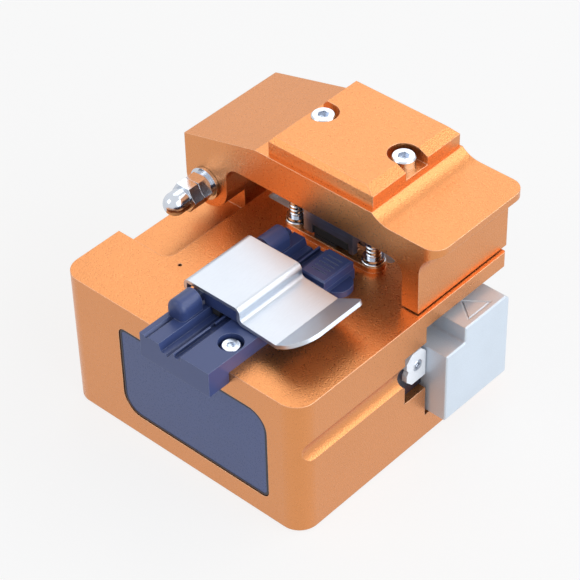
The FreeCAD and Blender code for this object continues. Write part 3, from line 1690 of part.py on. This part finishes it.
def window_insert():
    """Black block that fills the back of the window and carries the shoe."""
    body = add_body("window_insert")
    inner = right("window_length")
    outer = right("insert_recess")
    crest = below("window_drop + thread_gap")
    foot = below("window_drop + window_height - thread_gap")
    far = front("slide_front - channel_gap")
    extrude(body, "block", "X", inner, outer, [
        rectangle(front("window_front + thread_gap"), far, foot, crest),
    ])
    extrude(body, "bulge", "X", inner, outer, [(
        "circle",
        front("window_bulge_front"),
        below("window_bulge_drop"),
        "window_bulge - thread_gap",
    )])
    cut(body, "screw_hole", "X", inner, outer, [
        ("circle", SHOE_Y, SHOE_Z, "shoe_thread_radius + thread_gap"),
    ])


def guide_shoe():
    body = add_body("guide_shoe")
    low = front("shoe_front")
    high = front("shoe_rear")
    foot = below("shoe_bottom")
    crest = below("shoe_top")
    outer = right("shoe_sink")
    inner = right("insert_recess")
    extrude(body, "shoe", "X", inner, outer, [[
        (f"{low} + shoe_bevel", foot),
        (high, foot),
        (high, f"{crest} - shoe_bevel_drop"),
        (f"{high} - shoe_bevel", crest),
        (f"{low} + shoe_bevel", crest),
        (low, f"{crest} - shoe_bevel_drop"),
        (low, f"{SHOE_Z} + shoe_notch_half"),
        (f"{low} + shoe_notch", SHOE_Z),
        (low, f"{SHOE_Z} - shoe_notch_half"),
        (low, f"{foot} + shoe_bevel_drop"),
    ]])
    cut(body, "screw_sink", "X", f"{outer} - shoe_screw_head", outer, [
        ("circle", SHOE_Y, SHOE_Z, "shoe_screw_radius + thread_gap"),
    ])
    cut(body, "screw_hole", "X", inner, outer, [
        ("circle", SHOE_Y, SHOE_Z, "shoe_thread_radius + thread_gap"),
    ])


def shoe_screw():
    body = cap_screw(
        "shoe_screw",
        "shoe_screw_radius",
        "shoe_screw_head",
        "shoe_thread_radius",
        "shoe_thread_length",
        "socket_flats * 3 / 4",
        "shoe_screw_head / 2",
    )
    body.Placement.Rotation = FACE_LEFT
    place(body, right("shoe_sink"), SHOE_Y, SHOE_Z)
    EXPORTED.append(body)


def screw_groups():
    sunk = sunk_screw()
    group("bottom_screws", sunk, bottom_screw_places(), FACE_UP)
    group("carrier_screws", sunk, carrier_screw_places(), FACE_RIGHT)
    group("holder_screws", cap_screw(
        "holder_screw_master",
        "holder_head_radius",
        "holder_head_height",
        "holder_thread_radius",
        "holder_thread_length",
        "holder_socket_flats",
        "holder_socket_depth",
    ), holder_screw_places(), FACE_DOWN)
    group("top_screws", cap_screw(
        "top_screw_master",
        "cap_head_radius",
        "cap_head_height",
        "cap_thread_radius",
        "cap_thread_length",
        "cap_socket_flats",
        "cap_socket_depth",
    ), top_screw_places(), FACE_DOWN)
    group("rail_screws", cap_screw(
        "rail_screw_master",
        "rail_screw_radius",
        "rail_screw_head",
        "rail_thread_radius",
        "rail_screw_length - rail_screw_head - rail_head_gap - thread_gap",
        "socket_flats * 3 / 4",
        "rail_screw_head / 2",
    ), rail_screw_places(), FACE_DOWN)


fill_sheet()
housing()
bottom_plate()
base_mat()
nameplate()
offcut_tray()
holder_base()
holder_rear_block()
lid_magnet()
lid_hinge_pin()
clamp_lid()
lid_clamp_block()
lid_pad()
landing_studs()
pad_pair("lower_pads", FIBRE_X, "pad_length", LAND_TOP, top("pad_top"))
cover_arm()
top_plate()
hinge_washer()
lock_nut()
acorn_nut()
hinge_shaft()
hinge_bushes()
magnet("base_magnet", below("cover_magnet_height"))
magnet("cover_magnet", top("cover_foot_gap"))
clamp_frame()
pad_pair(
    "upper_pads",
    left_of_fibre("(head_window_left - head_window_right) / 2"),
    "head_window_left + head_window_right",
    top("upper_pad_bottom"),
    top("head_window_top"),
)
anvil()
guide_screws()
pressure_springs()
linear_rail()
runner_block()
slide_block()
blade_carrier()
blade_axle()
blade_wheel()
blade_hub()
blade_spacer()
window_insert()
guide_shoe()
shoe_screw()
screw_groups()

doc.recompute()
for item in doc.Objects:
    if {"Invalid", "Error"} & set(item.State):
        raise RuntimeError(f"{item.Label} did not build")
os.makedirs("parts", exist_ok=True)
for node in EXPORTED:
    if node.Shape.isNull() or not node.Shape.isValid():
        raise RuntimeError(f"{node.Label} is not a sound shape")
    node.Shape.exportStep(f"parts/{node.Label}.step")
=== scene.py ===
"""Looks for the fibre cleaver: materials, two finer pieces, studio and camera."""
import json
import math

import bmesh
import bpy
from mathutils import Matrix, Vector


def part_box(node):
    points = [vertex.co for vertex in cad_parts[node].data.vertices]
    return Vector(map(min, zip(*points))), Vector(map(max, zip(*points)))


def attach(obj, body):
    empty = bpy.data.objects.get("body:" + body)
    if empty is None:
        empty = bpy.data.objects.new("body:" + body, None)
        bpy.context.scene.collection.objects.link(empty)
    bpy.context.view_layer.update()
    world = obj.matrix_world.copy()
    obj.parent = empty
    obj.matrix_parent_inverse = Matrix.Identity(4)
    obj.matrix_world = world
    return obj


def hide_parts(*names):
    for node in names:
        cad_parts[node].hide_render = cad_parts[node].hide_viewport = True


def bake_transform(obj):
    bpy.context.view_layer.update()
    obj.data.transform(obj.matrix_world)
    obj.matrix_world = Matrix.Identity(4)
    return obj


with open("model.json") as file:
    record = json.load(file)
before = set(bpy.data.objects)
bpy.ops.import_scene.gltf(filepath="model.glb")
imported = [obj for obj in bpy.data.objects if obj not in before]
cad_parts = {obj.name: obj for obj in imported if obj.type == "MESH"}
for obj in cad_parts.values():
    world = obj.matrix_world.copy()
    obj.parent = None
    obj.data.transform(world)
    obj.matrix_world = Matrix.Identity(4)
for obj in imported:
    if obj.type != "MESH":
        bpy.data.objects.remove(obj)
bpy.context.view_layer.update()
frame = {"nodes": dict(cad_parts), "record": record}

MM = 0.001
SLOT_OF = {part["node"]: part["material_slot"] for part in frame["record"]["subparts"]}

# ---------------------------------------------------------------- node helpers

# Sockets of the Mix node that carry colours.
FIRST_COLOUR, SECOND_COLOUR, MIXED_COLOUR = 6, 7, 2


def add(nodes, kind, **properties):
    """A new shader node with its properties set by name."""
    node = nodes.new(kind)
    for name, value in properties.items():
        setattr(node, name, value)
    return node


def noise(nodes, links, coords, size, detail, stretch=(1, 1, 1)):
    """Noise with features of a size in metres, stretched along chosen axes."""
    mapping = add(nodes, "ShaderNodeMapping")
    mapping.inputs["Scale"].default_value = [1 / (size * factor) for factor in stretch]
    links.new(coords, mapping.inputs["Vector"])
    texture = add(nodes, "ShaderNodeTexNoise")
    texture.inputs["Scale"].default_value = 1.0
    texture.inputs["Detail"].default_value = detail
    links.new(mapping.outputs["Vector"], texture.inputs["Vector"])
    return texture.outputs["Fac"]


def spread(nodes, links, value, low, high, start=0.35, end=0.65):
    """Map a value from start to end onto low to high; noise mostly lies in the default range."""
    node = add(nodes, "ShaderNodeMapRange", clamp=True)
    node.inputs["From Min"].default_value = start
    node.inputs["From Max"].default_value = end
    node.inputs["To Min"].default_value = low
    node.inputs["To Max"].default_value = high
    links.new(value, node.inputs["Value"])
    return node.outputs["Result"]


def blend_colours(nodes, links, factor, first, second):
    """Mix two colours, each of which is a socket or three linear values."""
    node = add(nodes, "ShaderNodeMix", data_type="RGBA")
    links.new(factor, node.inputs["Factor"])
    for socket, colour in ((FIRST_COLOUR, first), (SECOND_COLOUR, second)):
        if hasattr(colour, "links"):
            links.new(colour, node.inputs[socket])
        else:
            node.inputs[socket].default_value = (*colour, 1)
    return node.outputs[MIXED_COLOUR]


# The cosine between the rounded and the true normal, on a sharp edge and on a flat.
ON_EDGE, ON_FLAT = 0.72, 0.995


def edge_wear_and_light_mask(nodes, links, radius, strength):
    """How far the rounded normal leaves the true one, for edge wear and a painted highlight:
    strength on edges, nothing on flats.
    """
    rounded = add(nodes, "ShaderNodeBevel", samples=4)
    rounded.inputs["Radius"].default_value = radius
    geometry = add(nodes, "ShaderNodeNewGeometry")
    dot = add(nodes, "ShaderNodeVectorMath", operation="DOT_PRODUCT")
    links.new(rounded.outputs["Normal"], dot.inputs[0])
    links.new(geometry.outputs["Normal"], dot.inputs[1])
    mask = spread(nodes, links, dot.outputs["Value"], strength, 0, ON_EDGE, ON_FLAT)
    return mask, rounded.outputs["Normal"]


# The share of open sky at which a recess counts as deep, and as open, for the painted shade.
DEEP_SKY, OPEN_SKY = 0.15, 0.62
# How far the painted shade goes towards its colour in the deepest recesses.
PAINTED_SHADE_STRENGTH = 0.75


def painted_shade_mask(nodes, links, reach):
    """How deep a point sits in the recesses of its own piece, for the shade painted there."""
    open_sky = add(nodes, "ShaderNodeAmbientOcclusion", samples=6, only_local=True)
    open_sky.inputs["Distance"].default_value = reach
    return spread(nodes, links, open_sky.outputs["AO"], PAINTED_SHADE_STRENGTH, 0, DEEP_SKY, OPEN_SKY)


def scaled(colour, factor):
    """A colour made lighter or darker, with no channel above one."""
    return tuple(min(channel * factor, 1.0) for channel in colour)


# ---------------------------------------------------------------- finishes

CLOUD_DETAIL = 4.0
GRAIN_DETAIL = 2.0
# Noise below the middle is a pit and above it a peak; each reaches full strength at the far end.
PIT, MIDDLE, PEAK = 0.3, 0.5, 0.7
SPECK_STRENGTH = 1.5
# Edges lighten by this factor for wear and a painted highlight, where a finish gives no edge colour
# of its own.
WEAR_AND_HIGHLIGHT_LIGHTER = 1.4


def finish_material(
    name,
    colour,
    metallic,
    roughness,
    varied=0.06,
    cloudy=0.025,
    grain=0.25,
    depth=0.004,
    patch=6.0,
    stretch=(1, 1, 1),
    edge=0.12,
    edge_wear_and_light_colour=None,
    edge_wear_and_light_strength=0.3,
    coat=0.0,
    coat_roughness=0.1,
    rough_spread=0.08,
    specular=0.5,
    painted_shade_colour=None,
    painted_shade_reach=2.5,
):
    """One procedural finish.

    Sizes are in millimetres: grain and patch of the noise, depth of the bump, edge of the corners
    with wear and a painted highlight, and reach of the shade painted into recesses. Colours are
    linear.
    """
    made = bpy.data.materials.new(name)
    made.use_nodes = True
    nodes, links = made.node_tree.nodes, made.node_tree.links
    shader = nodes["Principled BSDF"]
    coords = add(nodes, "ShaderNodeTexCoord").outputs["Object"]
    cloud = noise(nodes, links, coords, patch * MM, CLOUD_DETAIL)
    fine = noise(nodes, links, coords, grain * MM, GRAIN_DETAIL, stretch)

    dull = scaled(colour, 1 - cloudy)
    clear = scaled(colour, 1 + cloudy)
    tint = blend_colours(nodes, links, spread(nodes, links, cloud, 0, 1), dull, clear)
    pits = spread(nodes, links, fine, 1, 0, PIT, MIDDLE)
    tint = blend_colours(nodes, links, pits, tint, scaled(colour, 1 - SPECK_STRENGTH * varied))
    peaks = spread(nodes, links, fine, 0, 1, MIDDLE, PEAK)
    tint = blend_colours(nodes, links, peaks, tint, scaled(colour, 1 + SPECK_STRENGTH * varied))
    # Edges: partly wear, partly a painted highlight; a dark edge colour paints a shadow line
    # instead.
    wear_and_light, normal = edge_wear_and_light_mask(nodes, links, edge * MM, edge_wear_and_light_strength)
    tint = blend_colours(nodes, links, wear_and_light, tint, edge_wear_and_light_colour or scaled(colour, WEAR_AND_HIGHLIGHT_LIGHTER))
    # Painted shade: the recesses of the piece are darkened towards a shade colour.
    if painted_shade_colour:
        deep = painted_shade_mask(nodes, links, painted_shade_reach * MM)
        tint = blend_colours(nodes, links, deep, tint, painted_shade_colour)
    links.new(tint, shader.inputs["Base Color"])

    smoothest, roughest = roughness - rough_spread / 2, roughness + rough_spread / 2
    links.new(spread(nodes, links, fine, smoothest, roughest), shader.inputs["Roughness"])
    bump = add(nodes, "ShaderNodeBump")
    bump.inputs["Strength"].default_value = 1.0
    bump.inputs["Distance"].default_value = depth * MM
    links.new(fine, bump.inputs["Height"])
    links.new(normal, bump.inputs["Normal"])
    links.new(bump.outputs["Normal"], shader.inputs["Normal"])
    shader.inputs["Metallic"].default_value = metallic
    shader.inputs["Coat Weight"].default_value = coat
    shader.inputs["Coat Roughness"].default_value = coat_roughness
    shader.inputs["Specular IOR Level"].default_value = specular
    return made


# In each finish a light edge colour is wear and a painted highlight; a dark one paints a shadow
# line.
FINISH_SETTINGS = {
    "orange_anodised": dict(
        colour=(0.72, 0.284, 0.094), metallic=0.94, roughness=0.31, grain=0.30, depth=0.078,
        varied=0.02, cloudy=0.02, patch=14.0, rough_spread=0.08, coat=0.3, coat_roughness=0.35,
        edge=0.22, edge_wear_and_light_colour=(1.0, 0.66, 0.46), edge_wear_and_light_strength=0.8,
    ),
    "silver_aluminium": dict(
        colour=(0.66, 0.74, 0.83), metallic=0.3, roughness=0.42, grain=0.18, depth=0.006,
        varied=0.03, edge=0.3, edge_wear_and_light_colour=(0.97, 0.98, 1.0), edge_wear_and_light_strength=0.9,
    ),
    "polished_steel": dict(
        colour=(0.56, 0.60, 0.66), metallic=1.0, roughness=0.38, grain=0.06, depth=0.0015,
        varied=0.03, stretch=(1, 30, 1), rough_spread=0.06, edge=0.12, edge_wear_and_light_strength=0.6,
    ),
    # Steel darkened and blued to paint the dark reflection of the shade under the cover.
    "grey_steel": dict(
        colour=(0.22, 0.24, 0.32), metallic=0.9, roughness=0.3, grain=0.08, depth=0.002,
        varied=0.1, stretch=(20, 1, 1), edge=0.12,
    ),
    "carbide": dict(
        colour=(0.42, 0.43, 0.45), metallic=1.0, roughness=0.22, grain=0.05, depth=0.001,
        varied=0.08,
    ),
    "nickel_plate": dict(
        colour=(0.62, 0.66, 0.73), metallic=1.0, roughness=0.15, grain=0.1, depth=0.002,
        varied=0.04, edge=0.1, edge_wear_and_light_colour=(0.95, 0.96, 1.0), edge_wear_and_light_strength=0.6,
    ),
    "brass": dict(
        colour=(0.62, 0.42, 0.14), metallic=1.0, roughness=0.25, grain=0.1, depth=0.002,
        varied=0.08,
    ),
    # Black plastic whose blue base colour is partly a painted bluish sheen, with a painted
    # highlight on its edges.
    "black_plastic": dict(
        colour=(0.052, 0.082, 0.235), metallic=0.0, roughness=0.36, grain=0.12, depth=0.004,
        varied=0.05, edge=0.16, edge_wear_and_light_colour=(0.34, 0.40, 0.62), edge_wear_and_light_strength=0.8,
        # Painted shade: a near-black shade colour painted into the recesses of each piece.
        specular=0.55, painted_shade_colour=(0.005, 0.006, 0.018), painted_shade_reach=4.0,
    ),
    "black_insert": dict(
        colour=(0.010, 0.011, 0.026), metallic=0.0, roughness=0.3, grain=0.1, depth=0.003,
        varied=0.2, edge=0.12, edge_wear_and_light_colour=(0.10, 0.12, 0.22), edge_wear_and_light_strength=0.5,
    ),
    "dark_steel": dict(
        colour=(0.30, 0.30, 0.39), metallic=0.85, roughness=0.34, grain=0.1, depth=0.003,
        varied=0.12, stretch=(20, 1, 1), edge=0.14, edge_wear_and_light_colour=(0.42, 0.42, 0.50),
        edge_wear_and_light_strength=0.7,
    ),
    "white_plastic": dict(
        colour=(0.86, 0.89, 0.94), metallic=0.0, roughness=0.4, grain=0.2, depth=0.004,
        varied=0.02,
    ),
    # The black edge paints the shadow line round the nameplate, and the blue in its colour is
    # partly a painted bluish sheen.
    "dark_gloss": dict(
        colour=(0.062, 0.098, 0.275), metallic=0.0, roughness=0.3, grain=0.3, depth=0.001,
        varied=0.03, patch=9.0, coat=0.2, coat_roughness=0.2, specular=0.4,
        edge=0.6, edge_wear_and_light_colour=(0.004, 0.004, 0.012), edge_wear_and_light_strength=1.0,
    ),
    "rubber": dict(
        colour=(0.02, 0.02, 0.022), metallic=0.0, roughness=0.75, grain=0.2, depth=0.02,
        varied=0.3,
    ),
}
FINISHES = {
    name: finish_material(name, **settings) for name, settings in FINISH_SETTINGS.items()
}

# Nodes whose finish in the photograph differs from that of their slot.
OWN_FINISH = {"window_insert": "black_insert", "clamp_frame": "dark_steel"}

for name, node in frame["nodes"].items():
    node.data.materials.clear()
    node.data.materials.append(FINISHES[OWN_FINISH.get(name, SLOT_OF[name])])

# ---------------------------------------------------------------- finer pieces

RIM_WIDTH = 0.5 * MM
RIM_PROUD = 0.06 * MM
# The corners of the nameplate, which the rim follows.
LARGE_CORNER = 4.25 * MM
SMALL_CORNER = 1.55 * MM
CORNER_STEPS = 12


def plate_outline(left, right, low, high, inset):
    """Points round the plate as x and z: two opposite corners are large, two small."""
    large, small = LARGE_CORNER - inset, SMALL_CORNER - inset
    left, right, low, high = left + inset, right - inset, low + inset, high - inset
    corners = (
        (right, high, -1, -1, large),
        (left, high, 1, -1, small),
        (left, low, 1, 1, large),
        (right, low, -1, 1, small),
    )
    points = []
    for number, (x, z, inward, upward, radius) in enumerate(corners):
        for step in range(CORNER_STEPS + 1):
            angle = math.pi / 2 * (number + step / CORNER_STEPS)
            along = x + radius * (inward + math.cos(angle))
            height = z + radius * (upward + math.sin(angle))
            points.append((along, height))
    return points


def shadow_gap_rim():
    """Thin black ring round the edge of the nameplate, a dark piece standing in for the shadow gap
    there.
    """
    (left, front, low), (right, _, high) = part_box("nameplate")
    outer = plate_outline(left, right, low, high, 0)
    inner = plate_outline(left, right, low, high, RIM_WIDTH)
    section = (
        (outer, front),
        (outer, front - RIM_PROUD / 2),
        (inner, front - RIM_PROUD),
        (inner, front),
    )
    shape = bmesh.new()
    loops = [[shape.verts.new((x, y, z)) for x, z in outline] for outline, y in section]
    count = len(outer)
    for near, far in zip(loops, loops[1:] + loops[:1]):
        for number in range(count):
            after = (number + 1) % count
            shape.faces.new((near[number], near[after], far[after], far[number]))
    bmesh.ops.recalc_face_normals(shape, faces=shape.faces)
    mesh = bpy.data.meshes.new("shadow_gap_rim")
    shape.to_mesh(mesh)
    shape.free()
    rim = bpy.data.objects.new("shadow_gap_rim", mesh)
    bpy.context.scene.collection.objects.link(rim)
    # Near-black, so that this ring paints the shadow gap round the nameplate.
    mesh.materials.append(FINISHES["black_insert"])
    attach(rim, "base")


def spring_stacks():
    """The springs of the pressure head, which shorten between the cover and the head: here a still
    copy in place of their CAD piece, which is hidden.
    """
    mesh = frame["nodes"]["pressure_springs"].data.copy()
    stacks = bpy.data.objects.new("spring_stacks", mesh)
    bpy.context.scene.collection.objects.link(stacks)
    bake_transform(stacks)
    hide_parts("pressure_springs")


shadow_gap_rim()
spring_stacks()

# ---------------------------------------------------------------- studio

AMBIENT = 0.33
BACKDROP = 1.0
FLOOR_HALF = 3.0
FLOOR_COLOUR = (0.93, 0.93, 0.935)
FLOOR_ROUGHNESS = 0.7
FLOOR_WHITE = 0.82
# The ray depth at which a first glossy bounce meets the floor, and the world: the world counts one
# more than a surface does.
FLOOR_DEPTH = 2
WORLD_DEPTH = 3

LAMP_TARGET = (0, 0, 0.03)
WHITE = (1, 1, 1)
COOL_WHITE = (0.90, 0.95, 1.0)
# Name, place, side of the square in metres, power in watts and colour.
LAMPS = (
    ("key", (-0.40, 0.50, 0.70), 0.45, 0.68, WHITE),
    ("back_fill", (0.36, 0.61, 0.69), 0.4, 1.25, WHITE),
    ("right_fill", (0.8, 0.1, 0.35), 0.95, 5.9, COOL_WHITE),
    ("front_fill", (-0.46, -0.68, 0.60), 0.5, 1.1, WHITE),
)


def seen_directly(nodes, links, depth):
    """One for camera and transmission rays, and for glossy rays up to a depth."""
    path = add(nodes, "ShaderNodeLightPath")
    early = add(nodes, "ShaderNodeMath", operation="LESS_THAN")
    links.new(path.outputs["Ray Depth"], early.inputs[0])
    early.inputs[1].default_value = depth + 0.5
    shiny = add(nodes, "ShaderNodeMath", operation="MULTIPLY")
    links.new(path.outputs["Is Glossy Ray"], shiny.inputs[0])
    links.new(early.outputs[0], shiny.inputs[1])
    through = add(nodes, "ShaderNodeMath", operation="MAXIMUM")
    links.new(path.outputs["Is Camera Ray"], through.inputs[0])
    links.new(path.outputs["Is Transmission Ray"], through.inputs[1])
    either = add(nodes, "ShaderNodeMath", operation="MAXIMUM")
    links.new(shiny.outputs[0], either.inputs[0])
    links.new(through.outputs[0], either.inputs[1])
    return either.outputs[0]


def stage_sheet():
    """The floor: a pale sheet under the object, mostly white where seen, which keeps its shadow."""
    mesh = bpy.data.meshes.new("floor")
    half = FLOOR_HALF
    corners = [(-half, -half, 0), (half, -half, 0), (half, half, 0), (-half, half, 0)]
    mesh.from_pydata(corners, [], [(0, 1, 2, 3)])
    floor = bpy.data.objects.new("floor", mesh)
    bpy.context.scene.collection.objects.link(floor)
    made = bpy.data.materials.new("floor")
    made.use_nodes = True
    nodes, links = made.node_tree.nodes, made.node_tree.links
    shader = nodes["Principled BSDF"]
    shader.inputs["Base Color"].default_value = (*FLOOR_COLOUR, 1)
    shader.inputs["Roughness"].default_value = FLOOR_ROUGHNESS
    white = add(nodes, "ShaderNodeEmission")
    share = add(nodes, "ShaderNodeMath", operation="MULTIPLY")
    share.inputs[1].default_value = FLOOR_WHITE
    links.new(seen_directly(nodes, links, FLOOR_DEPTH), share.inputs[0])
    mixed = add(nodes, "ShaderNodeMixShader")
    links.new(share.outputs[0], mixed.inputs["Fac"])
    links.new(shader.outputs[0], mixed.inputs[1])
    links.new(white.outputs[0], mixed.inputs[2])
    links.new(mixed.outputs[0], nodes["Material Output"].inputs["Surface"])
    mesh.materials.append(made)


def world_light():
    """Plain white surroundings: full white where seen, and dimmer as a source of light."""
    world = bpy.data.worlds.new("studio")
    bpy.context.scene.world = world
    world.use_nodes = True
    nodes, links = world.node_tree.nodes, world.node_tree.links
    shade = nodes["Background"]
    level = add(nodes, "ShaderNodeMapRange")
    level.inputs["To Min"].default_value = AMBIENT
    level.inputs["To Max"].default_value = BACKDROP
    links.new(seen_directly(nodes, links, WORLD_DEPTH), level.inputs["Value"])
    shade.inputs["Color"].default_value = (*WHITE, 1)
    links.new(level.outputs["Result"], shade.inputs["Strength"])


def lamp(name, place, side, power, colour):
    """A square soft lamp that faces the object."""
    data = bpy.data.lights.new(name, "AREA")
    data.shape = "RECTANGLE"
    data.size = data.size_y = side
    data.energy = power
    data.color = colour
    made = bpy.data.objects.new(name, data)
    made.location = place
    beam = Vector(LAMP_TARGET) - Vector(place)
    made.rotation_euler = beam.to_track_quat("-Z", "Y").to_euler()
    bpy.context.scene.collection.objects.link(made)


# ---------------------------------------------------------------- camera

AZIMUTH = math.radians(43.025)
ELEVATION = math.radians(40.741)
ROLL = math.radians(-1.563)
FOCUS = Vector((0.0, 0.00065, 0.0316))
DISTANCE = 0.42856
SLIDE_RIGHT = 0.000735
SLIDE_DOWN = 0.005847
FOCAL_SHARE = 3.9213
SENSOR = 36.0
CLIP_START = 0.01


def add_camera():
    """Camera at the photograph's viewing angle."""
    back = Vector((
        math.sin(AZIMUTH) * math.cos(ELEVATION),
        -math.cos(AZIMUTH) * math.cos(ELEVATION),
        math.sin(ELEVATION),
    ))
    level = Vector((math.cos(AZIMUTH), math.sin(AZIMUTH), 0))
    raised = back.cross(level)
    right = math.cos(ROLL) * level + math.sin(ROLL) * raised
    up = math.cos(ROLL) * raised - math.sin(ROLL) * level
    data = bpy.data.cameras.new("camera")
    data.sensor_width = SENSOR
    data.lens = SENSOR * FOCAL_SHARE
    data.clip_start = CLIP_START
    camera = bpy.data.objects.new("camera", data)
    place = FOCUS + back * DISTANCE + right * SLIDE_RIGHT - up * SLIDE_DOWN
    turn = Matrix((right, up, back)).transposed().to_4x4()
    camera.matrix_world = Matrix.Translation(place) @ turn
    bpy.context.scene.collection.objects.link(camera)
    bpy.context.scene.camera = camera


stage_sheet()
world_light()
for name, place, side, power, colour in LAMPS:
    lamp(name, place, side, power, colour)
add_camera()

bpy.context.scene.view_settings.view_transform = "Standard"
